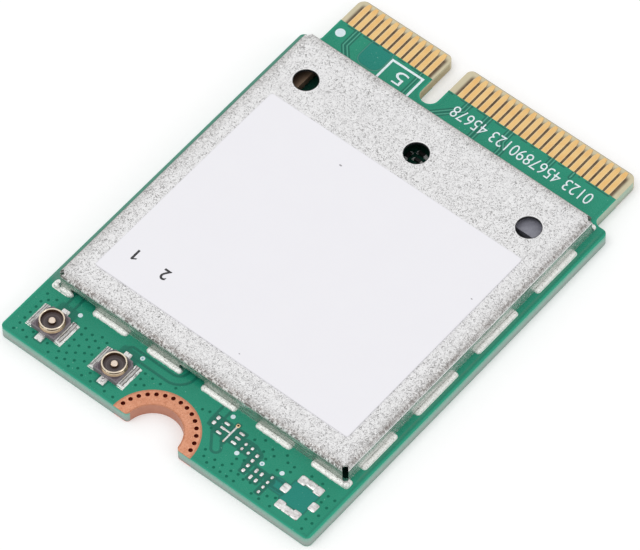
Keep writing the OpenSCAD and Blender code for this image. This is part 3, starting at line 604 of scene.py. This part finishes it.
# A painted highlight along the screw-end fold, broken by dark dashes.
fold_highlight_band = z.within(1.885, 0.065, 0.04) * y.below(can_y0 + 0.32, 0.05) * (1.0 - flank)
tone = tin.blend(fold_highlight_band * 0.9, tone, (0.99, 0.985, 0.97))
dash = tin.noise(1.0, 2.0, 0.6, tin.node("ShaderNodeCombineXYZ", {}, [along * 6.5, z * 3.0]))
tone = tin.blend(fold_highlight_band * dash.above(0.505, 0.025) * 0.9, tone, (0.17, 0.145, 0.13))
# Painted shade down the two far folds.
tone = tin.blend(far * z.below(1.985, 0.03) * 0.6, tone, (0.20, 0.165, 0.145))
drawn = tin.noise(1.0, 3.0, 0.6, tin.node("ShaderNodeCombineXYZ", {}, [along * 0.5, z * 9.0]))
# Painted reflections in the walls: green-grey from the board, lighter behind each solder bead, and
# lighter on the two long sides, broken by dark drawn streaks.
bead_reflection = ((x - bead_start) / bead_pitch).maths("FRACT").below(bead_run / bead_pitch, 0.03)
bright_wall = tin.blend(bead_reflection, (0.70, 0.76, 0.71), (0.46, 0.52, 0.47))
bright_wall = tin.blend(flank, bright_wall, (0.84, 0.85, 0.83))
dull_wall = tin.blend(flank, (0.33, 0.38, 0.34), (0.55, 0.57, 0.54))
wall_tone = tin.blend(drawn.above(0.52, 0.1), bright_wall, dull_wall)
tone = tin.blend(wall, tone, wall_tone)
foot = z.below(top_z + 0.045, 0.02)
tone = tin.blend(foot * 0.6, tone, (0.92, 0.94, 0.91))
# A painted highlight along the foot of each long side's fold, broken by dashes, and not metallic
# there.
lower_fold_highlight = z.within(1.775, 0.045, 0.02) * flank
tone = tin.blend(lower_fold_highlight * (1.0 - dash.above(0.6, 0.04) * 0.6), tone, (1.0, 1.0, 1.0))
shade_line = z.within(1.68, 0.03, 0.02) * flank * drawn.above(0.45, 0.1)
tone = tin.blend(shade_line * 0.75, tone, (0.12, 0.15, 0.13))
# Painted highlights on the vent rims, brighter on the side towards the light, and painted shade down
# the holes.
rims, bore_shade = [], []
for vx in vent_x:
    ox, oy = x - vx, y - vent_y
    reach = distance(ox, oy)
    lit = (oy - ox * 0.5).above(0.2, 0.6)
    rims.append(reach.within(vent_rim, 0.03, 0.02) * (lit * 0.8 + 0.15))
    bore_shade.append(reach.below(vent_bore, 0.006))
tone = tin.blend(greatest(rims), tone, (0.97, 0.97, 0.97))
tone = tin.blend(greatest(bore_shade), tone, (0.035, 0.035, 0.038))
tin.feed(Base_Color=tone, Roughness=(1.0 - wall) * 0.26 + drawn * 0.1 + 0.12,
         Metallic=(wall * 0.35 + 0.5) * (1.0 - lower_fold_highlight))
tin.bump((1.0 - marks) * 0.6 - score * scored * 0.6 + pits * -0.3 + drawn * wall * 0.3, 0.02, 0.8)
tin.paint("shield_can")


# Can solder. Full round beads of tin solder that joined the can's foot to its pads, with a
# lumpy, finely pitted skin, and drops left at the corners. They replace the plain beads of the
# CAD model, with the thin rims of pad round them.
solder = Finish("solder", Metallic=0.45)
x, y, z = solder.place()
ripple = solder.noise(6.0, 3.0, 0.6)
grain = solder.noise(11.0, 3.0, 0.65)
skin = solder.blend(ripple.above(0.5, 0.15), (0.90, 0.905, 0.865), (1.0, 1.0, 0.97))
high = z.step(top_z + 0.06, top_z + 0.16)
skin = solder.blend(grain.below(0.39, 0.05) * (high * 0.6 + 0.35), skin, (0.34, 0.33, 0.29))
solder.feed(Base_Color=skin, Roughness=ripple * 0.25 + 0.30)
solder.bump(ripple * 0.8 + grain * 0.4, 0.06, 0.9)
skirt, pad_radius = 0.29, 0.2
bead_width, side_bead_width, bead_height = 0.30, 0.26, 0.165


def close_rings(bm, rings):
    """Joins each ring of points to the next one and closes both ends."""
    for low, high in zip(rings, rings[1:]):
        for k in range(len(low)):
            bm.faces.new((low[k - 1], low[k], high[k], high[k - 1]))
    bm.faces.new(rings[0])
    bm.faces.new(rings[-1])


def bead_mesh(bm, points, outs, width, height, seed):
    """A closed bead swept along points on the wall's foot, with its way outwards at each."""
    steps, sweep, heel, sunk = 10, math.radians(100.0), 0.14, -0.03
    spans = [0.0]
    for a, b in zip(points, points[1:]):
        spans.append(spans[-1] + (Vector(b) - Vector(a)).length)
    rows = []
    for span, point, out in zip(spans, points, outs):
        end = min(span, spans[-1] - span) / (0.75 * width)
        full = math.sqrt(max(0.0, 1.0 - (1.0 - min(end, 1.0)) ** 2)) * 0.95 + 0.05
        wave = noise.noise(Vector((span * 1.7, seed, 0.0)))
        fine = noise.noise(Vector((span * 6.5, seed, 4.0)))
        reach = width * (0.35 + 0.65 * full) * (1.0 + 0.12 * wave + 0.08 * fine)
        high = height * full * (1.0 + 0.12 * wave + 0.09 * fine)
        middle = heel * reach
        row = []
        for k in range(steps + 1):
            angle = sweep * (1 - k / steps)
            lump = 1.0 + 0.05 * noise.noise(Vector((span * 8, seed + 7, k * 0.7)))
            off = max(0.0, middle + (reach - middle) * math.cos(angle) * lump)
            rise = high * math.sin(angle) ** 0.8 * lump
            row.append((off, rise))
        row += [(row[-1][0], sunk), (0.0, sunk)]
        rows.append([bm.verts.new((point[0] + out[0] * off, point[1] + out[1] * off,
                                   top_z + rise)) for off, rise in row])
    close_rings(bm, rows)


def straight(start, end):
    step = 0.05
    count = max(2, round((Vector(end) - Vector(start)).length / step))
    return [tuple(Vector(start).lerp(Vector(end), i / count)) for i in range(count + 1)]


def close_piece(name, bm, finish, replaced):
    """Turns a built mesh into a piece of the card that stands for a CAD node."""
    bmesh.ops.recalc_face_normals(bm, faces=bm.faces)
    mesh = bpy.data.meshes.new(name)
    bm.to_mesh(mesh)
    bm.free()
    piece = new_piece(name, mesh, finish.material)
    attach(piece, "root")
    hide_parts(replaced)


def pad_block(bm, outline):
    """A thin closed plate of solder that fills a pad's opening in the varnish."""
    rings = [[bm.verts.new((px, py, level)) for px, py in outline]
             for level in (top_z - 0.036, top_z + 0.002)]
    close_rings(bm, rings)


def rounded(cx, cy, radius, first, steps=4):
    """Points of a quarter round, turning left from the first angle."""
    return arc_points(cx, cy, radius, first, first + 90, steps)


def wall_pad(start, stop, out, row):
    """Outline of a pad on a wall's foot, with its outer corners rounded."""
    inset = skirt - pad_radius
    outline = [(start, 0.0), (stop, 0.0)]
    outline += rounded(stop - pad_radius, inset, pad_radius, 0)
    outline += rounded(start + pad_radius, inset, pad_radius, 90)
    if out[1]:
        return [(px, row + out[1] * py) for px, py in outline]
    return [(row + out[0] * py, px) for px, py in outline]


bm = bmesh.new()
end_runs = [bead_start + i * bead_pitch for i in range(5)]
side_top, side_pitch, side_runs = can_y1 - 1.77, 5.2, (3.55, 3.55, 3.55, 2.9)
runs = []
for start in end_runs:
    if start < end_runs[-1]:
        runs.append((start, start + bead_run, (0.0, -1.0), can_y0))
    runs.append((start, min(start + bead_run, can_x), (0.0, 1.0), can_y1))
runs.append((-can_x, -can_x + 1.0, (0.0, 1.0), can_y1))
for side in (-1, 1):
    for i, side_run in enumerate(side_runs):
        top = side_top - i * side_pitch
        runs.append((top - side_run, top, (float(side), 0.0), side * can_x))
for number, (start, stop, out, row) in enumerate(runs):
    ends = ((start, row), (stop, row)) if out[1] else ((row, start), (row, stop))
    path = straight(*ends)
    wide = bead_width if out[1] else side_bead_width
    bead_mesh(bm, path, [out] * len(path), wide, bead_height, number * 3.7)
    pad_block(bm, wall_pad(start, stop, out, row))


def corner_path(length, turned, side):
    """Path and outward ways from along the screw side round its corner and up the wall."""
    points = straight((side * (can_x - length), can_y0), (side * can_x, can_y0))
    outs = [(0.0, -1.0)] * len(points)
    steps = 8
    for i in range(1, steps):
        angle = math.pi / 2 * i / steps
        points.append((side * can_x, can_y0 - 0.0001 * i))
        outs.append((side * math.sin(angle), -math.cos(angle)))
    rest = straight((side * can_x, can_y0), (side * can_x, can_y0 + turned))
    return points + rest, outs + [(side * 1.0, 0.0)] * len(rest)


turned = 0.36
for side, length in ((1, 2.32), (-1, 1.0)):
    points, outs = corner_path(length, turned, side)
    if side > 0:
        bead_mesh(bm, points, outs, bead_width, bead_height, 9.0)
    far_x, far_y = can_x + skirt - pad_radius, can_y0 - skirt + pad_radius
    outline = [(can_x - length, can_y0), *rounded(can_x - length + pad_radius, far_y, pad_radius, 180),
               *rounded(far_x, far_y, pad_radius, 270),
               *rounded(far_x, can_y0 + turned - pad_radius, pad_radius, 0),
               (can_x, can_y0 + turned), (can_x, can_y0)]
    pad_block(bm, [(side * px, py) for px, py in outline])
lump = straight((-10.02, can_y0 + 0.02), (-9.12, can_y0 + 0.02))
bead_mesh(bm, lump, [(0.0, -1.0)] * len(lump), 0.25, 0.19, 5.0)
drops = ((-10.3, -10.98, 0.18), (-9.84, -11.04, 0.15), (-9.36, -11.08, 0.14), (10.37, -11.0, 0.22))
for dx, dy, size in drops:
    made = bmesh.ops.create_icosphere(bm, subdivisions=3, radius=size)
    for v in made["verts"]:
        v.co *= 1.0 + 0.12 * noise.noise(v.co * 9)
        v.co.z = max(v.co.z, -0.02)
        v.co += Vector((dx, dy, top_z + size * 0.3))
for v in bm.verts:
    v.co *= MM
bmesh.ops.remove_doubles(bm, verts=bm.verts, dist=0.0000004)
for face in bm.faces:
    face.smooth = len(face.verts) < 5
close_piece("can_solder_beads", bm, solder, "shield_solder")
part_tin = Finish("part_tin", Metallic=0.2)
part_tin.place()
part_tin.feed(Base_Color=part_tin.blend(part_tin.noise(9.0), (0.86, 0.87, 0.85), (0.99, 0.99, 0.98)),
              Roughness=part_tin.noise(20.0) * 0.2 + 0.2)
part_tin.paint("part_solder")


# Tinned pads. Scratched pads under the jacks, spare pads for a third jack and small parts, and
# flat bluish test spots. The spare ones are low, unevenly crowned drops with soft corners, which
# replace the flat pads of the CAD model.
pad_tin = Finish("pad_tin", Metallic=0.7)
pad_tin.place()
scratch = pad_tin.noise(1.0, 3.0, 0.65, pad_tin.stretched((13.0, 2.2, 1.0)))
blotch = pad_tin.noise(5.0, 3.0, 0.6)
skin = pad_tin.blend(blotch.above(0.5, 0.2), (0.96, 0.96, 0.94), (0.78, 0.79, 0.77))
pad_tin.feed(Base_Color=pad_tin.blend(scratch.above(0.57, 0.05) * 0.8, skin, (0.20, 0.21, 0.20)),
             Roughness=blotch * 0.3 + 0.2)
pad_tin.bump(scratch * 0.5 + blotch * 0.5, 0.03, 0.8)
pad_tin.paint("jack_pads")


drop_tin = Finish("drop_tin", Metallic=0.6)
x, y, z = drop_tin.place()
blotch = drop_tin.noise(4.0, 3.0, 0.6)
flaw = drop_tin.noise(1.0, 2.0, 0.6, drop_tin.stretched((4.0, 9.0, 1.0)))
skin = drop_tin.blend(blotch.above(0.5, 0.15), (0.98, 0.98, 0.97), (0.70, 0.68, 0.67))
skin = drop_tin.blend(flaw.above(0.60, 0.05) * 0.6, skin, (0.40, 0.37, 0.36))
skin = drop_tin.blend(z.below(top_z + 0.012, 0.006) * 0.4, skin, (0.42, 0.38, 0.36))
eye_x, eye_y, line_end_y = 3.4, -11.73, -13.05
ox = x - eye_x
from_eye = distance(ox, y - eye_y)
skin = drop_tin.blend(from_eye.below(0.13, 0.01), skin, (0.86, 0.62, 0.36))
skin = drop_tin.blend(from_eye.below(0.065, 0.01), skin, (0.03, 0.015, 0.008))
ends = (y - line_end_y).below(0.12, 0.06) * ox.size().below(0.1, 0.02)
drop_tin.feed(Base_Color=drop_tin.blend(ends * 0.6, skin, (0.86, 0.60, 0.42)),
              Roughness=blotch * 0.3 + 0.2)
drop_tin.bump(blotch, 0.04, 0.8)


def crowned_pad(bm, outline, middle, crown):
    """A low drop over an outline of points: a short skirt, then rings that close on the top."""
    rings = []
    for shrink, rise in ((1.0, -0.036), (1.0, 0.0), (0.93, 0.45), (0.72, 0.85), (0.35, 1.0)):
        ring = []
        for px, py in outline:
            level = top_z + rise
            if rise > 0:
                wave = noise.noise(Vector((px, py, rise)) * 5)
                level = (top_z + rise * crown) * (1.0 + 0.004 * wave)
            ring.append(bm.verts.new((middle[0] + (px - middle[0]) * shrink,
                                      middle[1] + (py - middle[1]) * shrink, level)))
        rings.append(ring)
    close_rings(bm, rings)


def soft_box(x0, x1, y0, y1, radius):
    near_x, far_x, near_y, far_y = x0 + radius, x1 - radius, y0 + radius, y1 - radius
    quarters = ((far_x, far_y, 0), (near_x, far_y, 90), (near_x, near_y, 180), (far_x, near_y, 270))
    return [point for cx, cy, first in quarters for point in rounded(cx, cy, radius, first, 3)]


def pad_piece(name, boxes, finish, radius, crown, replaced):
    bm = bmesh.new()
    for x0, x1, y0, y1 in boxes:
        soft = min(radius, 0.49 * (x1 - x0), 0.49 * (y1 - y0))
        crowned_pad(bm, soft_box(x0, x1, y0, y1, soft), ((x0 + x1) / 2, (y0 + y1) / 2), crown)
    for v in bm.verts:
        v.co *= MM
    for face in bm.faces:
        face.smooth = True
    close_piece(name, bm, finish, replaced)


spare_rows = [(2.23, 3.00, 2, 0.38, 0.24, 0.28), (2.85, 3.00, 3, 0.36, 0.40, 0.18),
              (3.90, 3.00, 3, 0.36, 0.40, 0.18), (4.50, 2.63, 2, 0.36, 0.18, 0.24),
              (4.95, 2.63, 2, 0.36, 0.20, 0.22), (5.45, 2.43, 4, 0.39, 0.22, 0.26),
              (6.03, 1.68, 2, 0.50, 0.20, 0.34), (6.40, 1.68, 2, 0.50, 0.20, 0.30),
              (6.97, 1.88, 4, 0.385, 0.18, 0.24)]
half_share, eye_half, line_half_width = 0.45, 0.12, 0.055
boxes = []
for px, up, count, pitch, wide, long in spare_rows:
    for i in range(count):
        middle = end_y + up - i * pitch
        boxes.append((px - wide * half_share, px + wide * half_share, middle - long * half_share,
                      middle + long * half_share))
boxes.append((eye_x - line_half_width, eye_x + line_half_width, line_end_y, eye_y))
boxes.append((2.85, eye_x, -12.36 - line_half_width, -12.36 + line_half_width))
boxes.append((eye_x - eye_half, eye_x + eye_half, eye_y - eye_half, eye_y + eye_half))
pad_piece("spare_pad_drops", boxes, drop_tin, 0.07, 0.022, "spare_part_pads")
jack_x3, jack_y3 = 8.93, -13.17
pad_off, pad_half = 0.98, 0.28
boxes = []
for side in (-1, 1):
    inner = jack_y3 + side * (pad_off - pad_half)
    outer = jack_y3 + side * (pad_off + pad_half)
    nick = inner + side * 0.12
    boxes.append((jack_x3 - 0.8, jack_x3 - pad_half, *sorted((inner, outer))))
    boxes.append((jack_x3 + pad_half, jack_x3 + 0.8, *sorted((inner, outer))))
    boxes.append((jack_x3 - 0.32, jack_x3 + 0.32, *sorted((nick, outer))))
    foot_x = jack_x3 + side * pad_off
    boxes.append((foot_x - 0.24, foot_x + 0.24, jack_y3 - 0.29, jack_y3 + 0.29))
pad_piece("spare_jack_drops", boxes, drop_tin, 0.1, 0.03, "spare_jack_pads")
spot_tin = Finish("spot_tin", Metallic=0.3, Roughness=0.35)
x, y, z = spot_tin.place()
skin = spot_tin.blend(spot_tin.noise(6.0), (0.62, 0.78, 0.84), (0.86, 0.95, 0.98))
ringed_spots = ((-3.495, -11.665), (5.97, -12.78))
for sx, sy in ringed_spots:
    eye = distance(x - sx, y - sy).below(0.06, 0.03)
    skin = spot_tin.blend(eye * 0.8, skin, (0.12, 0.36, 0.42))
spot_tin.feed(Base_Color=skin)
spot_tin.paint("test_pads")


# Antenna jacks. A dark moulded base holds a ring of gold plated sheet, with a rim, a shallow
# groove and two feet, and a gold centre pin. Each foot is soldered along its pad, so its metal
# is streaked bright and dark. The ring is worn to a warm grey-gold, with painted highlights on
# its rim and flare and painted shade in its groove and down its inside. The base has painted
# highlights on its edges, painted shade inside the ring and a painted shadow round the pin,
# whose sides are painted in shade below its top.
def from_jack(x, y):
    """Distances across and along the board from the middle of the nearer jack."""
    return (x - jack_x[0]).size().least((x - jack_x[1]).size()), (y - jack_y).size()


moulding = Finish("jack_moulding")
x, y, z = moulding.place()
out_x, out_y = from_jack(x, y)
speck = moulding.noise(12.0, 3.0, 0.6)
skin = moulding.blend(speck, (0.060, 0.045, 0.058), (0.125, 0.100, 0.118))
# Painted highlights along the base's top edges and its corner bevels.
base_edge_highlight = out_x.most(out_y).above(0.74, 0.03).most((out_x + out_y).within(1.32, 0.03, 0.03))
skin = moulding.blend(base_edge_highlight * 0.5, skin, (0.30, 0.27, 0.29))
inside = distance(out_x, out_y)
# Painted shade on the floor inside the ring.
skin = moulding.blend(inside.below(0.66, 0.03) * 0.55, skin, (0.075, 0.058, 0.052))
skin = moulding.blend(inside.within(0.45, 0.02, 0.02) * 0.35, skin, (0.24, 0.21, 0.20))
# A painted shadow round the foot of the pin.
skin = moulding.blend(inside.below(0.30, 0.06) * 0.75, skin, (0.030, 0.018, 0.016))
moulding.feed(Base_Color=skin, Roughness=speck * 0.2 + 0.34)
moulding.bump(speck, 0.01, 0.6)
moulding.paint("jack_1_base", "jack_2_base")
ring_gold = Finish("ring_gold", Metallic=1.0)
x, y, z = ring_gold.place()
from_middle = distance(*from_jack(x, y))
jack_top = top_z + 0.62
band = ring_gold.noise(1.0, 2.0, 0.5, ring_gold.stretched((1.5, 1.5, 26.0)))
tarnish = ring_gold.noise(3.5, 3.0, 0.6)
skin = ring_gold.blend(tarnish.above(0.5, 0.25), (0.62, 0.46, 0.30), (0.42, 0.31, 0.20))
# Painted shade in the groove.
groove = z.within(jack_top - 0.15, 0.045, 0.03)
skin = ring_gold.blend(groove * 0.7, skin, (0.22, 0.14, 0.08))
# A painted highlight on the flare below the groove.
skin = ring_gold.blend(z.within(jack_top - 0.215, 0.012, 0.015) * 0.8, skin, (0.95, 0.84, 0.66))
# Painted shade down the inside of the ring.
skin = ring_gold.blend(from_middle.below(0.672, 0.01), skin, (0.30, 0.19, 0.105))
# Painted highlights on the rim, brightest along its top edge.
skin = ring_gold.blend(z.above(jack_top - 0.075, 0.03), skin, (0.80, 0.64, 0.46))
skin = ring_gold.blend(z.above(jack_top - 0.017, 0.006), skin, (1.0, 0.87, 0.70))
skin = ring_gold.blend(z.below(top_z + 0.2, 0.02), skin, (0.82, 0.81, 0.77))
ring_gold.feed(Base_Color=skin, Roughness=band * 0.14 + 0.15)
ring_gold.bump(band, 0.008, 0.5)
ring_gold.paint("jack_1_ring", "jack_2_ring")
pin_gold = Finish("pin_gold", Metallic=1.0)
x, y, z = pin_gold.place()
face = pin_gold.blend(pin_gold.noise(6.0), (0.88, 0.70, 0.56), (1.0, 0.90, 0.80))
# Painted shade on the pin's sides below its top.
pin_gold.feed(Base_Color=pin_gold.blend(z.below(jack_top - 0.135, 0.012), face, (0.30, 0.16, 0.08)),
              Roughness=pin_gold.noise(14.0) * 0.2 + 0.25)
pin_gold.paint("jack_1_pin", "jack_2_pin")
foot_solder = Finish("foot_solder", Metallic=0.75)
x, y, z = foot_solder.place()
stir = foot_solder.noise(5.0, 3.0, 0.6)
out_x = from_jack(x, y)[0] + (stir - 0.5) * 0.12
scum = foot_solder.noise(1.0, 2.0, 0.6, foot_solder.stretched((10.0, 3.0, 10.0)))
dark = out_x.within(1.115, 0.03, 0.025).most(out_x.within(0.945, 0.03, 0.02))
dark = dark.most(out_x.within(1.03, 0.06, 0.03) * 0.45) * y.above(-13.82, 0.06)
dark = dark.most(scum.above(0.60, 0.04) * 0.7)
skin = foot_solder.blend(stir.above(0.5, 0.2), (0.97, 0.97, 0.95), (0.84, 0.84, 0.82))
foot_solder.feed(Base_Color=foot_solder.blend(dark, skin, (0.15, 0.135, 0.13)),
                 Roughness=stir * 0.3 + 0.15)
foot_solder.bump(1.0 - dark * 0.7 + stir * 0.5, 0.03, 0.7)
foot_solder.paint("jack_1_solder", "jack_2_solder")


# Label. A white film glued on the lid, smooth and nearly matt, with rounded corners, faint
# soiling at its cut edges and three tiny specks. Two plain digits are printed near its screw
# end, read from the contact end. It replaces the plain plate of the CAD model.
label_x0, label_x1, label_y0, label_y1 = -9.0, 9.0, -9.22, 5.88
lid_z, film_top, film_edge, film_corner = 2.05, 2.127, 0.012, 0.15
film = Finish("label_film", Specular_IOR_Level=0.3)
x, y, z = film.place()
to_edge = (label_x1 - x.size()).least(y - label_y0).least(label_y1 - y)
skin = film.blend(film.noise(0.5, 2.0), (0.880, 0.870, 0.910), (0.895, 0.888, 0.925))
skin = film.blend(to_edge.below(0.03, 0.04) * 0.35, skin, (0.62, 0.61, 0.64))
specks = ((-2.8, 4.45, 0.09), (8.5, 2.05, 0.06), (1.0, -8.75, 0.05))
for sx, sy, size in specks:
    reach = distance(x - sx, (y - sy) * 1.7)
    skin = film.blend(reach.below(size, 0.03) * 0.8, skin, (0.22, 0.21, 0.22))
film.feed(Base_Color=skin, Roughness=film.noise(5.0) * 0.1 + 0.42)
bm = bmesh.new()
rings = []
for inset, level in ((0.0, lid_z), (0.0, film_top - film_edge), (film_edge, film_top)):
    outline = soft_box(label_x0 + inset, label_x1 - inset, label_y0 + inset, label_y1 - inset,
                       film_corner - inset)
    rings.append([bm.verts.new(Vector((px, py, level)) * MM) for px, py in outline])
close_rings(bm, rings)
close_piece("label_film_sheet", bm, film, "label")


def print_text(name, words, height, at, level, finish, width, weight):
    """Flat lettering turned to be read from the contact end, its middle at the given place."""
    curve = bpy.data.curves.new(name, "FONT")
    curve.body = words
    curve.size = 1.0
    curve.align_x = "CENTER"
    curve.offset = weight
    curve.resolution_u = 4
    maker = new_piece(name + "_curve", curve)
    graph = bpy.context.evaluated_depsgraph_get()
    mesh = bpy.data.meshes.new_from_object(maker.evaluated_get(graph))
    bpy.data.objects.remove(maker)
    left = min(v.co.x for v in mesh.vertices)
    right = max(v.co.x for v in mesh.vertices)
    tall = max(v.co.y for v in mesh.vertices)
    scale = height / tall
    stretch = width / (right - left) if width else scale
    for v in mesh.vertices:
        v.co = Vector((at[0] - (v.co.x - (left + right) / 2) * stretch,
                       at[1] - (v.co.y - tall / 2) * scale, level)) * MM
    mesh.materials.clear()
    return new_piece(name, mesh, finish.material)


grey_ink = Finish("grey_ink", Roughness=0.6)
grey_ink.place()
grey_ink.feed(Base_Color=grey_ink.blend(grey_ink.noise(20.0, 2.0).above(0.55, 0.1),
                                        (0.022, 0.021, 0.024), (0.075, 0.073, 0.080)))
digit_height, ink_z = 0.72, film_top + 0.002
for word, at in (("1", (-7.68, -7.35)), ("2", (-5.55, -7.35))):
    mark = print_text("label_digit_" + word, word, digit_height, at, ink_z, grey_ink, None, 0.02)
    if word == "1":
        top = at[1] - digit_height / 2
        flag = bmesh.new()
        flag.from_mesh(mark.data)
        corners = [flag.verts.new(Vector((at[0] + dx, top + dy, ink_z)) * MM)
                   for dx, dy in ((0.03, 0.0), (0.03, 0.11), (0.25, 0.24), (0.25, 0.14))]
        flag.faces.new(corners)
        flag.to_mesh(mark.data)
        flag.free()
    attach(mark, "root")


# Board print. White ink on the varnish beside the contacts: an open frame with one digit in it,
# and a row of plain digits along the edge of the can, all read from the contact end.
board_ink_z = top_z + 0.0155
white_ink = Finish("white_ink", Roughness=0.55)
white_ink.place()
white_ink.feed(Base_Color=white_ink.blend(white_ink.noise(18.0, 2.0).above(0.6, 0.08),
                                          (0.86, 0.93, 0.97), (0.52, 0.70, 0.70)))
white_ink.paint("board_print")
for name, words, height, at, width in (("frame_digit", "5", 0.92, (-4.66, 11.9), 0.74),
                                       ("edge_digits", "0123 4567890123 45678", 0.80,
                                        (3.95, 12.1), 9.9)):
    mark = print_text(name, words, height, at, board_ink_z, white_ink, width, -0.005)
    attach(mark, "root")


# Parts in the can. Only glimpsed through the vents: black moulded chips, a grey-faced memory
# chip, brown capacitors, white filters, a steel crystal lid, a ferrite coil, black resistors.
def plain_finish(name, first, second, scale, rough, metallic=0.0):
    f = Finish(name, Metallic=metallic)
    f.place()
    speck = f.noise(scale, 3.0, 0.6)
    f.feed(Base_Color=f.blend(speck.above(0.5, 0.2), first, second),
           Roughness=speck * 0.2 + rough)
    f.bump(speck, 0.008, 0.5)
    return f


plain_finish("chip_moulding", (0.022, 0.022, 0.026), (0.040, 0.040, 0.046), 9.0, 0.45).paint(
    "radio_chip", "front_end_chip_1", "front_end_chip_2")
plain_finish("grey_chip", (0.25, 0.25, 0.30), (0.31, 0.31, 0.36), 6.0, 0.3).paint("memory_chip")
capacitor = Finish("capacitor_ceramic")
x, y, z = capacitor.place()
speck = capacitor.noise(5.0, 3.0, 0.6)
# Painted shade: the capacitors darken towards the left under the left vent, and those further in are
# nearly black.
brown = capacitor.blend(x.step(-9.1, -8.3), (0.075, 0.045, 0.030), (0.36, 0.24, 0.16))
brown = capacitor.blend(x.above(-3.0, 0.1), brown, (0.014, 0.014, 0.015))
capacitor.feed(Base_Color=capacitor.blend(speck * 0.3, brown, (0.02, 0.012, 0.008)),
               Roughness=speck * 0.2 + 0.35)
capacitor.paint("capacitors")
plain_finish("filter_ceramic", (0.72, 0.72, 0.66), (0.80, 0.80, 0.75), 6.0, 0.4).paint(
    "antenna_filter_1", "antenna_filter_2")
plain_finish("crystal_lid", (0.62, 0.60, 0.55), (0.70, 0.68, 0.62), 8.0, 0.25, 1.0).paint("crystal")
plain_finish("coil_ferrite", (0.06, 0.06, 0.065), (0.10, 0.10, 0.105), 9.0, 0.55).paint(
    "power_coil")
plain_finish("resistor_film", (0.010, 0.010, 0.012), (0.022, 0.022, 0.025), 9.0, 0.3).paint(
    "resistors")
